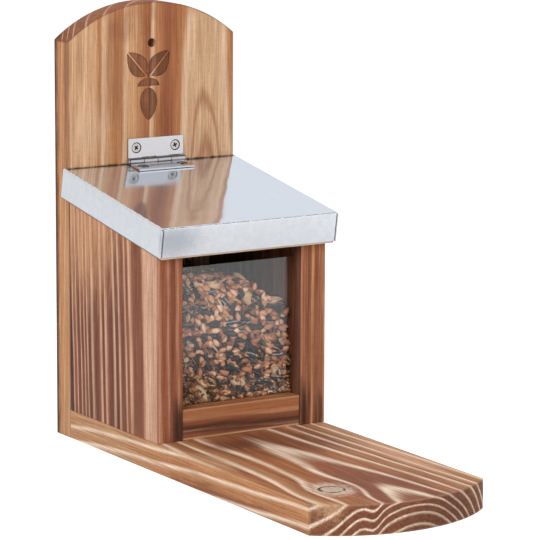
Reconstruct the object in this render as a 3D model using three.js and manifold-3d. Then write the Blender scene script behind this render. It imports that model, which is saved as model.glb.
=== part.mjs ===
// Squirrel feeder box: an arched back panel that hangs on a wall or a tree, a seed box with
// a clear window, a long ledge to sit on, and a metal-clad lid on a small butt hinge, which
// the squirrel pushes up with its nose.
//
// Millimetres, +Z up. The front looks along -Y, and +X is on the right seen from the front.
// The part's origin is at the middle of its footprint, on the underside. While it is built,
// y = 0 is the back panel's front face, x = 0 its middle and z = 0 its underside.
import * as THREE from "three";
import { mergeVertices } from "three/addons/utils/BufferGeometryUtils.js";
import Module from "manifold-3d";

// Boards
const boardThickness = 18;
const boxWidth = 120;
const boxDepth = 110;
const sideRearHeight = 133.2; // of a side panel's rear edge, over the base board
const backShoulderHeight = 251.5; // where the back panel's arch begins
const backArchRise = 22;
const hangHoleDiameter = 5.5;
const hangHoleDrop = 25.7; // from the top of the arch to the middle of the hole
const ledgeShoulder = 280; // from the back panel to where the ledge's arch begins
const ledgeArchRise = 22;

// Front rail and window
const railHeight = 19;
const railDepth = 18;
const railSetback = 0.7; // behind the side panels' front edges
const railGrooveFloor = 5.3; // wood left under the groove in the rail
const paneThickness = 2;
const paneDrop = 10.8; // from the side panels' tops down to the pane's top edge
const paneSetback = 8; // from the side panels' front edges to the pane
const paneClearance = 0.3; // at each face of the pane
const grooveDepth = 4; // into each side panel
const grooveEndClearance = 0.5; // at each upright edge of the pane

// Lid
const lidSlopeDeg = 9.5;
const lidBoardThickness = 19;
const lidOverhang = 11.5; // in front of the box, along the slope
const lidSideOverhang = 2.5; // beyond each side of the box
const sheetThickness = 0.7;
const foldRadius = 1.2; // outside of a fold
const skirtHeight = 18.7;
const skirtTail = 4.1; // how far the side skirts run past the hinge axis
const cornerSeam = 0.8; // open gap at each end of the front skirt
const frontSkirtCornerRadius = 1.5;
const restGap = 0.3; // between pieces that lie on each other along the slope
const panelClearance = 0.5; // between the lid's rear edge and the back panel
const notchClearance = 0.9; // at each side of the back panel, inside the side skirts

// Hinge
const hingeLength = 40;
const hingeOffset = 2.2; // to the right of the lid's middle
const leafThickness = 1;
const leafReach = 14.2; // from the axis to the leaf's far edge
const knuckleRadius = 1.95;
const knuckleGap = 0.3; // between two knuckles
const knuckleRelief = 0.8; // between a knuckle and the other leaf's edge
const pinRadius = 0.95;
const pinClearance = 0.15;
const pinHeadRadius = 1.6;
const pinHeadThickness = 0.7;
const hingeScrewSpacing = 28.2;
const hingeScrewReach = 8.3; // from the axis to the screws

// Screws
const hingeScrewHead = 6.2;
const hingeScrewShank = 3;
const hingeScrewLength = 14;
const woodScrewHead = 7;
const woodScrewShank = 3.5;
const woodScrewLength = 35;
const railScrewLength = 29;
const screwRim = 0.35; // straight edge of a countersunk head
const screwClearance = 0.3;
const recessWidth = 0.8;
const recessReach = 1.7; // from the middle of a head to the end of a slot
const recessDepth = 1.1;
const backScrewInset = 27; // from the foot and the top of a side panel's rear edge
const baseScrewInset = 25; // from the front and the rear edge of a side panel
const backBaseScrewSpacing = 60;
const railScrewSpacing = 50;

// How far cuts run past the faces that they open, and joined forms run into each other
const overrun = 1;
const lap = 0.2;

// Counts
const knuckleCount = 4;
const archSegments = 20;
const foldSegments = 2;
const roundSides = 24;
const screwSides = 16;

// Places that follow from the sizes
const halfWidth = boxWidth / 2;
const sideInner = halfWidth - boardThickness;
const sideMiddle = halfWidth - boardThickness / 2;
const baseTop = boardThickness;
const backHeight = backShoulderHeight + backArchRise;
const partReach = ledgeShoulder + ledgeArchRise;
const slope = THREE.MathUtils.degToRad(lidSlopeDeg);
const sideRearTop = baseTop + sideRearHeight;
const sideFrontTop = sideRearTop - boxDepth * Math.tan(slope);
const railFront = railSetback - boxDepth;
const railRear = railFront + railDepth;
const paneFront = paneSetback - boxDepth;
const grooveFront = paneFront - paneClearance;
const grooveRear = paneFront + paneThickness + paneClearance;
const paneFloor = baseTop + railGrooveFloor;
const paneTop = sideRearTop + paneFront * Math.tan(slope) - paneDrop;

// The lid's own frame has x along the hinge axis, y up the slope and z square to the lid
const leafFloor = -knuckleRadius;
const sheetTop = leafFloor - restGap;
const sheetFloor = sheetTop - sheetThickness;
const lidBoardTop = sheetFloor - restGap;
const lidBoardFloor = lidBoardTop - lidBoardThickness;
const hem = sheetTop - skirtHeight;
const foldLevel = sheetTop - foldRadius;
const innerFoldRadius = foldRadius - sheetThickness;
const lidHalfWidth = halfWidth + lidSideOverhang;
const hingeY = -knuckleRadius;
const hingeZ = sideRearTop + hingeY * Math.tan(slope) + (restGap - lidBoardFloor) / Math.cos(slope);
const lidFront = -(boxDepth + hingeY) / Math.cos(slope) - lidOverhang;
const bend = lidFront + foldRadius;

const X = new THREE.Vector3(1, 0, 0);
const Y = new THREE.Vector3(0, 1, 0);
const Z = new THREE.Vector3(0, 0, 1);
const forwards = Y.clone().negate();
const down = Z.clone().negate();
const upright = [X, Z, forwards]; // an outline in x and z, stretched forwards
const sideways = [Y, Z, X]; // an outline in y and z, stretched to the right

const finish = (color, roughness, metalness) => () =>
  new THREE.MeshStandardMaterial({ color, roughness, metalness });
const flamedWood = finish(0xa9693f, 0.75, 0);
const rawWood = finish(0xdcb98c, 0.8, 0);
const zinc = finish(0xcfd4d8, 0.35, 1);
const nickel = finish(0xd2d0cf, 0.2, 1);
const steel = finish(0xbdb7a8, 0.35, 1);
const acrylic = finish(0xe6eef2, 0.05, 0);

const wasm = await Module();
wasm.setup();

// A closed geometry as a solid that can be cut and joined
function solidOf(geometry) {
  const bare = geometry.clone();
  bare.deleteAttribute("normal");
  bare.deleteAttribute("uv");
  const merged = mergeVertices(bare);
  const vertProperties = merged.attributes.position.array;
  const triVerts = new Uint32Array(merged.index.array);
  return new wasm.Manifold(new wasm.Mesh({ numProp: 3, vertProperties, triVerts }));
}

function geometryOf(solid) {
  const { vertProperties, triVerts } = solid.getMesh();
  const geometry = new THREE.BufferGeometry();
  geometry.setAttribute("position", new THREE.BufferAttribute(vertProperties, 3));
  geometry.setIndex(new THREE.BufferAttribute(triVerts, 1));
  return geometry;
}

function joined(parts) {
  return geometryOf(parts.map(solidOf).reduce((whole, part) => whole.add(part)));
}

function carved(blank, cutters) {
  return geometryOf(cutters.map(solidOf).reduce((whole, cutter) => whole.subtract(cutter), solidOf(blank)));
}

function mesh(name, geometry, material) {
  const flat = geometry.toNonIndexed();
  flat.computeVertexNormals();
  const piece = new THREE.Mesh(flat, material());
  piece.name = name;
  return piece;
}

function group(...children) {
  return new THREE.Group().add(...children);
}

// A block between its lowest and its highest corner
function block(low, high) {
  const size = high.map((value, axis) => value - low[axis]);
  const middle = high.map((value, axis) => (value + low[axis]) / 2);
  return new THREE.BoxGeometry(...size).translate(...middle);
}

// An outline stretched square to itself; the frame says where its x, y and depth point
function slab(outline, depth, frame, curveSegments = foldSegments) {
  const geometry = new THREE.ExtrudeGeometry(outline, { depth, bevelEnabled: false, curveSegments });
  return geometry.applyMatrix4(new THREE.Matrix4().makeBasis(...frame));
}

// A rod along x between two ends
function rod(radius, left, right) {
  const geometry = new THREE.CylinderGeometry(radius, radius, right - left, roundSides);
  return geometry.rotateZ(Math.PI / 2).translate((left + right) / 2, 0, 0);
}

// A round form about y, from its half section of [radius, height] pairs, lowest first
function turned(section, sides) {
  return new THREE.LatheGeometry(section.map(([radius, height]) => new THREE.Vector2(radius, height)), sides);
}

// A board's outline with a square foot and an arc across its far end
function archedOutline(shoulder, rise) {
  const radius = (halfWidth * halfWidth + rise * rise) / (rise + rise);
  const centre = shoulder + rise - radius;
  const start = Math.asin((shoulder - centre) / radius);
  const outline = new THREE.Shape();
  outline.moveTo(-halfWidth, 0);
  outline.lineTo(halfWidth, 0);
  outline.absarc(0, centre, radius, start, Math.PI - start);
  outline.closePath();
  return outline;
}

// Countersunk screws. A fixing gives the middle of a screw's face and the way it looks.
const hingeScrew = { head: hingeScrewHead, shank: hingeScrewShank, length: hingeScrewLength };
const woodScrew = { head: woodScrewHead, shank: woodScrewShank, length: woodScrewLength };
const railScrew = { ...woodScrew, length: railScrewLength };

function screwSection({ head, shank, length }, clearance, top) {
  const headRadius = head / 2 + clearance;
  const shankRadius = shank / 2 + clearance;
  const tip = -length - clearance;
  return [
    [0, tip],
    [shankRadius, tip + shank],
    [shankRadius, shankRadius - headRadius - screwRim],
    [headRadius, -screwRim],
    [headRadius, top],
    [0, top],
  ];
}

function screwMesh({ name, screw, at, out }) {
  const halfSlot = recessWidth / 2;
  const slots = [
    [recessReach, halfSlot],
    [halfSlot, recessReach],
  ].map(([x, z]) => block([-x, -recessDepth, -z], [x, overrun, z]));
  const piece = mesh(name, carved(turned(screwSection(screw, 0, 0), screwSides), slots), steel);
  piece.position.copy(at);
  piece.quaternion.setFromUnitVectors(Y, out);
  return piece;
}

// What a screw needs to be cut away, in the frame in which its fixing is given
function screwHole({ screw, at, out }) {
  const hole = turned(screwSection(screw, screwClearance, overrun), screwSides);
  return hole.applyQuaternion(new THREE.Quaternion().setFromUnitVectors(Y, out)).translate(...at);
}

function boxFixings() {
  const railScrewY = (grooveRear + railRear) / 2;
  const baseFront = baseScrewInset - boxDepth;
  return [-1, 1].flatMap((side) => {
    const hand = side < 0 ? "left" : "right";
    const x = side * sideMiddle;
    const low = new THREE.Vector3(x, boardThickness, baseTop + backScrewInset);
    const high = new THREE.Vector3(x, boardThickness, sideRearTop - backScrewInset);
    const end = new THREE.Vector3((side * backBaseScrewSpacing) / 2, boardThickness, boardThickness / 2);
    const underFront = new THREE.Vector3(x, baseFront, 0);
    const underRear = new THREE.Vector3(x, -baseScrewInset, 0);
    const rail = new THREE.Vector3((side * railScrewSpacing) / 2, railScrewY, 0);
    return [
      { name: `back_screw_low_${hand}`, screw: woodScrew, at: low, out: Y },
      { name: `back_screw_high_${hand}`, screw: woodScrew, at: high, out: Y },
      { name: `back_to_base_screw_${hand}`, screw: woodScrew, at: end, out: Y },
      { name: `base_screw_front_${hand}`, screw: woodScrew, at: underFront, out: down },
      { name: `base_screw_rear_${hand}`, screw: woodScrew, at: underRear, out: down },
      { name: `rail_screw_${hand}`, screw: railScrew, at: rail, out: down },
    ];
  });
}

// A leaf's two screws, in the frame of a leaf that lies flat and points forwards. The upper
// leaf is turned round, so its first screw ends up on the right.
function leafFixings(half) {
  const hands = half === "upper" ? ["right", "left"] : ["left", "right"];
  return hands.map((hand, i) => ({
    name: `hinge_screw_${half}_${hand}`,
    screw: hingeScrew,
    at: new THREE.Vector3((i - 0.5) * hingeScrewSpacing, -hingeScrewReach, leafFloor + leafThickness),
    out: Z,
  }));
}

const upperHingeFrame = new THREE.Matrix4()
  .makeTranslation(hingeOffset, hingeY, hingeZ)
  .multiply(new THREE.Matrix4().makeRotationX(Math.PI / 2))
  .multiply(new THREE.Matrix4().makeRotationZ(Math.PI));
const lowerHingeFrame = new THREE.Matrix4().makeTranslation(hingeOffset, 0, 0);
const boxHoles = boxFixings().map(screwHole);
const holesOf = (half, frame) => leafFixings(half).map((fixing) => screwHole(fixing).applyMatrix4(frame));
const lidHoles = holesOf("lower", lowerHingeFrame);

function backPanel() {
  const board = slab(archedOutline(backShoulderHeight, backArchRise), boardThickness, upright, archSegments);
  const holeRadius = hangHoleDiameter / 2;
  const holeLength = boardThickness + overrun + overrun;
  const hangHole = new THREE.CylinderGeometry(holeRadius, holeRadius, holeLength, roundSides);
  hangHole.translate(0, boardThickness / 2, backHeight - hangHoleDrop);
  const holes = [hangHole, ...boxHoles, ...holesOf("upper", upperHingeFrame)];
  return carved(board.translate(0, boardThickness, 0), holes);
}

function baseBoard() {
  const board = new THREE.ExtrudeGeometry(archedOutline(ledgeShoulder, ledgeArchRise), {
    depth: boardThickness,
    bevelEnabled: false,
    curveSegments: archSegments,
  });
  return carved(board.rotateZ(Math.PI), boxHoles);
}

// The left (-1) or the right (1) side panel, with the groove for the pane in its inner face
function sidePanel(side) {
  const outline = new THREE.Shape([
    new THREE.Vector2(0, baseTop),
    new THREE.Vector2(0, sideRearTop),
    new THREE.Vector2(-boxDepth, sideFrontTop),
    new THREE.Vector2(-boxDepth, baseTop),
  ]);
  const left = side < 0 ? -halfWidth : sideInner;
  const board = slab(outline, boardThickness, sideways).translate(left, 0, 0);
  const reach = sideInner + grooveDepth;
  const groove = block([-reach, grooveFront, baseTop - overrun], [reach, grooveRear, sideRearTop]);
  return carved(board, [groove, ...boxHoles]);
}

function frontRail() {
  const strip = block([-sideInner, railFront, baseTop], [sideInner, railRear, baseTop + railHeight]);
  const reach = sideInner + overrun;
  const groove = block([-reach, grooveFront, paneFloor], [reach, grooveRear, baseTop + railHeight + overrun]);
  return carved(strip, [groove, ...boxHoles]);
}

function windowPane() {
  const reach = sideInner + grooveDepth - grooveEndClearance;
  return block([-reach, paneFront, paneFloor], [reach, paneFront + paneThickness, paneTop]);
}

// How far up the slope a piece may reach at this level and still clear the back panel
function lidRearAt(level) {
  return (level * Math.sin(slope) - panelClearance - hingeY) / Math.cos(slope);
}

function lidBoard() {
  const reach = lidHalfWidth - sheetThickness - restGap;
  const low = [-reach, lidFront + sheetThickness + restGap, lidBoardFloor];
  return carved(block(low, [reach, lidRearAt(lidBoardFloor), lidBoardTop]), lidHoles);
}

// The sheet's top with its two side skirts, as an outline in x and z
function channelOutline() {
  const foldX = lidHalfWidth - foldRadius;
  const inside = lidHalfWidth - sheetThickness;
  const outline = new THREE.Shape();
  outline.moveTo(-lidHalfWidth, hem);
  outline.absarc(-foldX, foldLevel, foldRadius, Math.PI, Math.PI / 2, true);
  outline.absarc(foldX, foldLevel, foldRadius, Math.PI / 2, 0, true);
  outline.lineTo(lidHalfWidth, hem);
  outline.lineTo(inside, hem);
  outline.absarc(foldX, foldLevel, innerFoldRadius, 0, Math.PI / 2);
  outline.absarc(-foldX, foldLevel, innerFoldRadius, Math.PI / 2, Math.PI);
  outline.lineTo(-inside, hem);
  outline.closePath();
  return outline;
}

// The fold over the front edge, as an outline in y and z
function frontFoldOutline() {
  const outline = new THREE.Shape();
  outline.moveTo(lidFront, foldLevel - lap);
  outline.absarc(bend, foldLevel, foldRadius, Math.PI, Math.PI / 2, true);
  outline.lineTo(bend + lap, sheetTop);
  outline.lineTo(bend + lap, sheetFloor);
  outline.absarc(bend, foldLevel, innerFoldRadius, Math.PI / 2, Math.PI);
  outline.lineTo(lidFront + sheetThickness, foldLevel - lap);
  outline.closePath();
  return outline;
}

// The front skirt, with rounded lower corners, as an outline in x and z
function frontSkirtOutline(reach) {
  const cornerX = reach - frontSkirtCornerRadius;
  const cornerZ = hem + frontSkirtCornerRadius;
  const outline = new THREE.Shape();
  outline.moveTo(reach, foldLevel);
  outline.lineTo(-reach, foldLevel);
  outline.absarc(-cornerX, cornerZ, frontSkirtCornerRadius, Math.PI, Math.PI * 1.5);
  outline.absarc(cornerX, cornerZ, frontSkirtCornerRadius, -Math.PI / 2, 0);
  outline.closePath();
  return outline;
}

function lidSheet() {
  const inside = lidHalfWidth - sheetThickness;
  const frontReach = inside - cornerSeam;
  const channel = slab(channelOutline(), skirtTail - bend, upright).translate(0, skirtTail, 0);
  const frontFold = slab(frontFoldOutline(), frontReach + frontReach, sideways).translate(-frontReach, 0, 0);
  const frontSkirt = slab(frontSkirtOutline(frontReach), sheetThickness, upright);
  frontSkirt.translate(0, lidFront + sheetThickness, 0);
  const sideFlaps = [
    block([-lidHalfWidth, lidFront, hem], [-inside, bend + lap, foldLevel]),
    block([inside, lidFront, hem], [lidHalfWidth, bend + lap, foldLevel]),
  ];
  const notchReach = halfWidth + notchClearance;
  const notch = block(
    [-notchReach, lidRearAt(sheetFloor), sheetFloor - overrun],
    [notchReach, skirtTail + overrun, sheetTop + overrun],
  );
  return carved(joined([channel, frontFold, frontSkirt, ...sideFlaps]), [notch, ...lidHoles]);
}

// One leaf, flat and pointing forwards, with every second knuckle; both leaves are alike
function hingeLeaf() {
  const halfLength = hingeLength / 2;
  const pitch = hingeLength / knuckleCount;
  const halfGap = knuckleGap / 2;
  const plate = block([-halfLength, -leafReach, leafFloor], [halfLength, 0, leafFloor + leafThickness]);
  const reliefs = [];
  const knuckles = [];
  for (let i = 0; i < knuckleCount; i++) {
    const left = i * pitch - halfLength;
    const right = left + pitch;
    if (i % 2) {
      knuckles.push(rod(knuckleRadius, left + halfGap, right - halfGap));
    } else {
      const low = [left - halfGap, -knuckleRadius - knuckleRelief, leafFloor - overrun];
      reliefs.push(block(low, [right + halfGap, overrun, leafFloor + leafThickness + overrun]));
    }
  }
  const bore = rod(pinRadius + pinClearance, -halfLength - overrun, halfLength + overrun);
  const holes = leafFixings("lower").map(screwHole);
  return carved(joined([carved(plate, reliefs), ...knuckles]), [bore, ...holes]);
}

function hingePin() {
  const end = (hingeLength + knuckleGap) / 2;
  const top = end + pinHeadThickness;
  const section = [
    [0, -top],
    [pinHeadRadius, -top],
    [pinHeadRadius, -end],
    [pinRadius, -end],
    [pinRadius, end],
    [pinHeadRadius, end],
    [pinHeadRadius, top],
    [0, top],
  ];
  return turned(section, roundSides).rotateZ(Math.PI / 2);
}

// One half of the hinge: a leaf and its two screws
function hingeHalf(half, frame) {
  const leaf = mesh(`hinge_leaf_${half}`, hingeLeaf(), nickel);
  const hinge = group(leaf, ...leafFixings(half).map(screwMesh));
  hinge.applyMatrix4(frame);
  return hinge;
}

const pin = mesh("hinge_pin", hingePin(), nickel);
pin.position.set(hingeOffset, hingeY, hingeZ);

const lid = group(
  mesh("lid_board", lidBoard(), rawWood),
  mesh("lid_sheet", lidSheet(), zinc),
  hingeHalf("lower", lowerHingeFrame),
);
lid.position.set(0, hingeY, hingeZ);
lid.rotation.x = slope;

const feeder = group(
  mesh("back_panel", backPanel(), flamedWood),
  mesh("base_board", baseBoard(), flamedWood),
  mesh("side_panel_left", sidePanel(-1), flamedWood),
  mesh("side_panel_right", sidePanel(1), flamedWood),
  mesh("front_rail", frontRail(), flamedWood),
  mesh("window_pane", windowPane(), acrylic),
  ...boxFixings().map(screwMesh),
  hingeHalf("upper", upperHingeFrame),
  pin,
  lid,
);
feeder.position.y = (partReach - boardThickness) / 2;

export default group(feeder);
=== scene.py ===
"""Squirrel feeder box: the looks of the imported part.

Every piece is modelled with Blender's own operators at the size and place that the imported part
gives, and gets a finish that is made of nodes. Sizes here are in millimetres with y = 0 at the
back panel's front face, x = 0 in its middle and z = 0 on the underside. Blender's own units are
metres, in the row frame.
"""

import logging
import math
from contextlib import contextmanager
from dataclasses import dataclass, field
from enum import Enum
from inspect import signature
from typing import Callable, Iterator, Sequence

import bmesh
import bpy
import numpy as np
from mathutils import Matrix, Vector


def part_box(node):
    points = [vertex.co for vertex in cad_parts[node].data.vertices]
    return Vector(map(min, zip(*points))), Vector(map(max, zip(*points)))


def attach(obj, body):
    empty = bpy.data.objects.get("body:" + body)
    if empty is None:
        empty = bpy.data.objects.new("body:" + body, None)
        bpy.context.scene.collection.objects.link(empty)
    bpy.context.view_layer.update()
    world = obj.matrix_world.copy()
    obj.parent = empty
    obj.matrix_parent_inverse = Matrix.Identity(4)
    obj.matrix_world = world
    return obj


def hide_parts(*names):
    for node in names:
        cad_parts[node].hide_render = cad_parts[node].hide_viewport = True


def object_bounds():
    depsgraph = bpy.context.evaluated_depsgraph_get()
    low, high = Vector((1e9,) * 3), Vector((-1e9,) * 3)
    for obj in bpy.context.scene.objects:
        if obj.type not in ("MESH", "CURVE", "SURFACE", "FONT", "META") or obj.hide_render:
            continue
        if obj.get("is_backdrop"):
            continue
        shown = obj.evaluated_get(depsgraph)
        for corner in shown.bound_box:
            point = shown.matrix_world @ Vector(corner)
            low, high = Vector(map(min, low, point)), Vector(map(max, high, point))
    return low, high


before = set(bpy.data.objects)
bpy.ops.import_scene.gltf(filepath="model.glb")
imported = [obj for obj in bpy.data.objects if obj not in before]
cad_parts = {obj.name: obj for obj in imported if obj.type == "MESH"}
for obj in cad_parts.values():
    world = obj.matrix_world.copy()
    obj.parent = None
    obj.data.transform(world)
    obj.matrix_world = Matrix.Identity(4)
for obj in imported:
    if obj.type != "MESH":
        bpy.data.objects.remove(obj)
CAD_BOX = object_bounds()

log = logging.getLogger("feeder")

Pair = tuple[float, float]
Triple = tuple[float, float, float]

MM = 0.001
BACK_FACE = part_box("back_panel")[0].y / MM
SLOPE = math.radians(9.5)
HINGE = Vector((0, -1.95, 173.73724))
SEED = 20
ZERO: Triple = (0.0, 0.0, 0.0)
TINY = 1e-6  # metres
SIDES = ((-1, "left"), (1, "right"))

# Wood colours as they show, red, green and blue from 0 to 255
PALE = (242, 219, 196)
BARE = (212, 186, 166)
CREAM = (215, 182, 152)
PEACH = (216, 173, 146)
STRAW = (204, 166, 130)
SAND = (208, 164, 124)
GLOW = (202, 145, 100)
AMBER = (206, 152, 112)
HONEY = (197, 151, 111)
TAN = (183, 128, 86)
CARAMEL = (163, 104, 68)
RUSSET = (146, 88, 62)
BROWN = (128, 77, 56)
UMBER = (113, 69, 53)
DARK = (84, 50, 38)
BURNT = (84, 49, 32)
RUST = (118, 58, 30)
CHAR = (46, 29, 22)
ASH = (190, 168, 150)


class Body(Enum):
    """What a piece moves with."""

    BOX = "box"
    LID = "lid"


class Slot(Enum):
    """The record's material slots."""

    FLAMED = "flamed_softwood"
    RAW = "raw_softwood"
    SHEET = "galvanised_sheet"
    NICKEL = "nickel_plate"
    STEEL = "zinc_plated_steel"
    ACRYLIC = "clear_acrylic"


class Lay(Enum):
    """Which axes run across a board, through its thickness and along its grain."""

    UPRIGHT_FRONT = "XYZ"
    UPRIGHT_SIDE = "YXZ"
    LYING = "XZY"
    CROSSWISE = "ZYX"


class Part(Enum):
    """Kinds of mesh element that can be selected."""

    VERTEX = "verts"
    EDGE = "edges"
    FACE = "faces"


def linear(tone: Triple) -> tuple[float, ...]:
    """Turns a colour as it shows, from 0 to 255, into the linear one that shaders take."""
    shares = [channel / 255 for channel in tone]
    return (*(c / 12.92 if c <= 0.04045 else ((c + 0.055) / 1.055) ** 2.4 for c in shares), 1.0)


def row(x: float, y: float, z: float) -> Vector:
    """Returns a point of the feeder, in millimetres, as metres in the row frame."""
    return Vector((x, y + BACK_FACE, z)) * MM


# Nodes


class Signal:
    """A node's output that sums can be written with."""

    def __init__(self, g: "Graph", socket: bpy.types.NodeSocket) -> None:
        """Keeps the socket and the graph that it is in."""
        self.g, self.socket = g, socket

    @property
    def node(self) -> bpy.types.Node:
        """The node that it comes out of."""
        return self.socket.node

    def reckon(self, operation: str, *values: "Value") -> "Signal":
        """Returns a Math node's result, or a Vector Math node's where a value is a vector."""
        wide = any(v.socket.type == "VECTOR" if isinstance(v, Signal) else isinstance(v, tuple)
                   for v in values)
        return (self.g.vector if wide else self.g.math)(operation, *values)

    def __add__(self, other: "Value") -> "Signal":
        """Returns the sum."""
        return self.reckon("ADD", self, other)

    def __sub__(self, other: "Value") -> "Signal":
        """Returns the difference."""
        return self.reckon("SUBTRACT", self, other)

    def __rsub__(self, other: "Value") -> "Signal":
        """Returns the difference from a plain value."""
        return self.reckon("SUBTRACT", other, self)

    def __mul__(self, other: "Value") -> "Signal":
        """Returns the product."""
        return self.reckon("MULTIPLY", self, other)

    def __truediv__(self, other: "Value") -> "Signal":
        """Returns the quotient."""
        return self.reckon("DIVIDE", self, other)

    def __abs__(self) -> "Signal":
        """Returns the value without its sign."""
        return self.reckon("ABSOLUTE", self)


Value = float | Triple | Signal


class Graph:
    """Adds nodes to a tree and joins them."""

    def __init__(self, tree: bpy.types.NodeTree) -> None:
        """Keeps the tree that the nodes go into."""
        self.tree = tree

    @classmethod
    def of(cls, owner: bpy.types.Material | bpy.types.World) -> "Graph":
        """Returns the emptied graph of a material or a world."""
        owner.use_nodes = True
        owner.node_tree.nodes.clear()
        return cls(owner.node_tree)

    def feed(self, socket: bpy.types.NodeSocket, value: Value) -> None:
        """Joins a socket to a signal, or sets its own value."""
        if isinstance(value, Signal):
            self.tree.links.new(value.socket, socket)
        elif socket.type == "RGBA" and len(value) == 3:
            socket.default_value = (*value, 1.0)
        else:
            socket.default_value = value

    def node(self, kind: str, values: dict[int | str, Value] | Sequence[Value] = (),
             out: int | str = 0, **settings: object) -> Signal:
        """Adds a shader node.

        Args:
            kind: The node's type without its ShaderNode prefix.
            values: What goes into its inputs, in their order or by name or number.
            out: The output that is wanted.
            settings: Properties to set on the node.

        Returns:
            That output.
        """
        node = self.tree.nodes.new("ShaderNode" + kind)
        for name, value in settings.items():
            setattr(node, name, value)
        for key, value in (values if isinstance(values, dict) else dict(enumerate(values))).items():
            self.feed(node.inputs[key], value)
        return Signal(self, node.outputs[out])

    def show(self, shader: Signal, kind: str = "OutputMaterial") -> None:
        """Joins a shader to the tree's output, which is added if it isn't there yet."""
        kind, nodes = "ShaderNode" + kind, self.tree.nodes
        output = next((n for n in nodes if n.bl_idname == kind), None) or nodes.new(kind)
        self.feed(output.inputs["Surface"], shader)

    def math(self, operation: str, *values: Value) -> Signal:
        """Returns the result of a Math node."""
        return self.node("Math", values, operation=operation)

    def vector(self, operation: str, *values: Value) -> Signal:
        """Returns the result of a Vector Math node."""
        out = "Value" if operation in ("LENGTH", "DOT_PRODUCT") else "Vector"
        return self.node("VectorMath", values, out, operation=operation)

    def least(self, first: Value, second: Value) -> Signal:
        """Returns the smaller value."""
        return self.math("MINIMUM", first, second)

    def most(self, first: Value, second: Value) -> Signal:
        """Returns the larger value."""
        return self.math("MAXIMUM", first, second)

    def axes(self, vector: Value) -> list[Signal]:
        """Returns a vector's three parts."""
        return [Signal(self, out) for out in self.node("SeparateXYZ", [vector]).node.outputs]

    def join(self, x: Value, y: Value, z: Value) -> Signal:
        """Returns a vector made of three parts."""
        return self.node("CombineXYZ", (x, y, z))

    def millimetres(self) -> Signal:
        """Returns the place on a piece in millimetres, y from the back panel's front face."""
        metres = self.node("TexCoord", out="Object")
        return metres * (1 / MM, 1 / MM, 1 / MM) - (0.0, BACK_FACE, 0.0)

    def span(self, value: Value, low: Value, high: Value, start: Value = 0.0, end: Value = 1.0,
             smooth: bool = True) -> Signal:
        """Maps a value between low and high to start and end, and holds it beyond them.

        Args:
            value: What is mapped.
            low: The value that gives start.
            high: The value that gives end.
            start: Result at low.
            end: Result at high.
            smooth: Whether the change eases in and out.

        Returns:
            The mapped value.
        """
        return self.node("MapRange", (value, low, high, start, end),
                         interpolation_type="SMOOTHSTEP" if smooth else "LINEAR")

    def line(self, value: Value, start: Value, end: Value) -> Signal:
        """Maps a value from 0 to 1 to start and end, in proportion."""
        return self.span(value, 0.0, 1.0, start, end, smooth=False)

    def mix(self, share: Value, first: Value, second: Value, mode: str = "MIX") -> Signal:
        """Returns two colours mixed by a share of the second."""
        return self.node("Mix", {0: share, 6: first, 7: second}, 2, data_type="RGBA",
                         blend_type=mode)

    def dye(self, share: Value, colour: Value, tone: Triple) -> Signal:
        """Returns a colour that has taken a share of a tone from 0 to 255."""
        return self.mix(share, colour, linear(tone))

    def deepen(self, share: Value, colour: Value, by: Triple) -> Signal:
        """Returns a colour that was multiplied, by a share."""
        return self.mix(share, colour, self.mix(1.0, colour, by, "MULTIPLY"))

    def ramp(self, value: Value, stops: Sequence[tuple[float, Triple]]) -> Signal:
        """Returns a colour along a ramp.

        Args:
            value: Place along the ramp, from 0 to 1.
            stops: Places with their tones, lowest first.

        Returns:
            The colour there.
        """
        made = self.node("ValToRGB", [value])
        elements = made.node.color_ramp.elements
        while len(elements) < len(stops):
            elements.new(1.0)
        for element, (place, tone) in zip(elements, stops):
            element.position = place
            element.color = linear(tone)
        return made

    def noise(self, vector: Value, scale: float = 1.0, detail: float = 2.0,
              rough: float = 0.5) -> Signal:
        """Returns a noise value, mostly from 0.2 to 0.8."""
        return self.node("TexNoise", {"Vector": vector, "Scale": scale, "Detail": detail,
                                      "Roughness": rough})

    def cells(self, vector: Value, scale: float, out: str) -> Signal:
        """Returns an output of a pattern of cells."""
        return self.node("TexVoronoi", {"Vector": vector, "Scale": scale}, out)

    def random(self, value: Value) -> Signal:
        """Returns a random number from 0 to 1 for each different value."""
        return self.node("TexWhiteNoise", {"W": value}, noise_dimensions="1D")

    def bump(self, height: Value, distance: float, strength: float = 1.0) -> Signal:
        """Returns a normal that a height in metres bends."""
        return self.node("Bump", {"Height": height, "Distance": distance, "Strength": strength})

    def blend(self, share: Value, first: Signal, second: Signal) -> Signal:
        """Returns two shaders mixed by a share of the second."""
        return self.node("MixShader", (share, first, second))

    def ray(self, kind: str) -> Signal:
        """Returns 1 for one kind of light path, such as Camera."""
        return self.node("LightPath", out=f"Is {kind} Ray")


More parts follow.
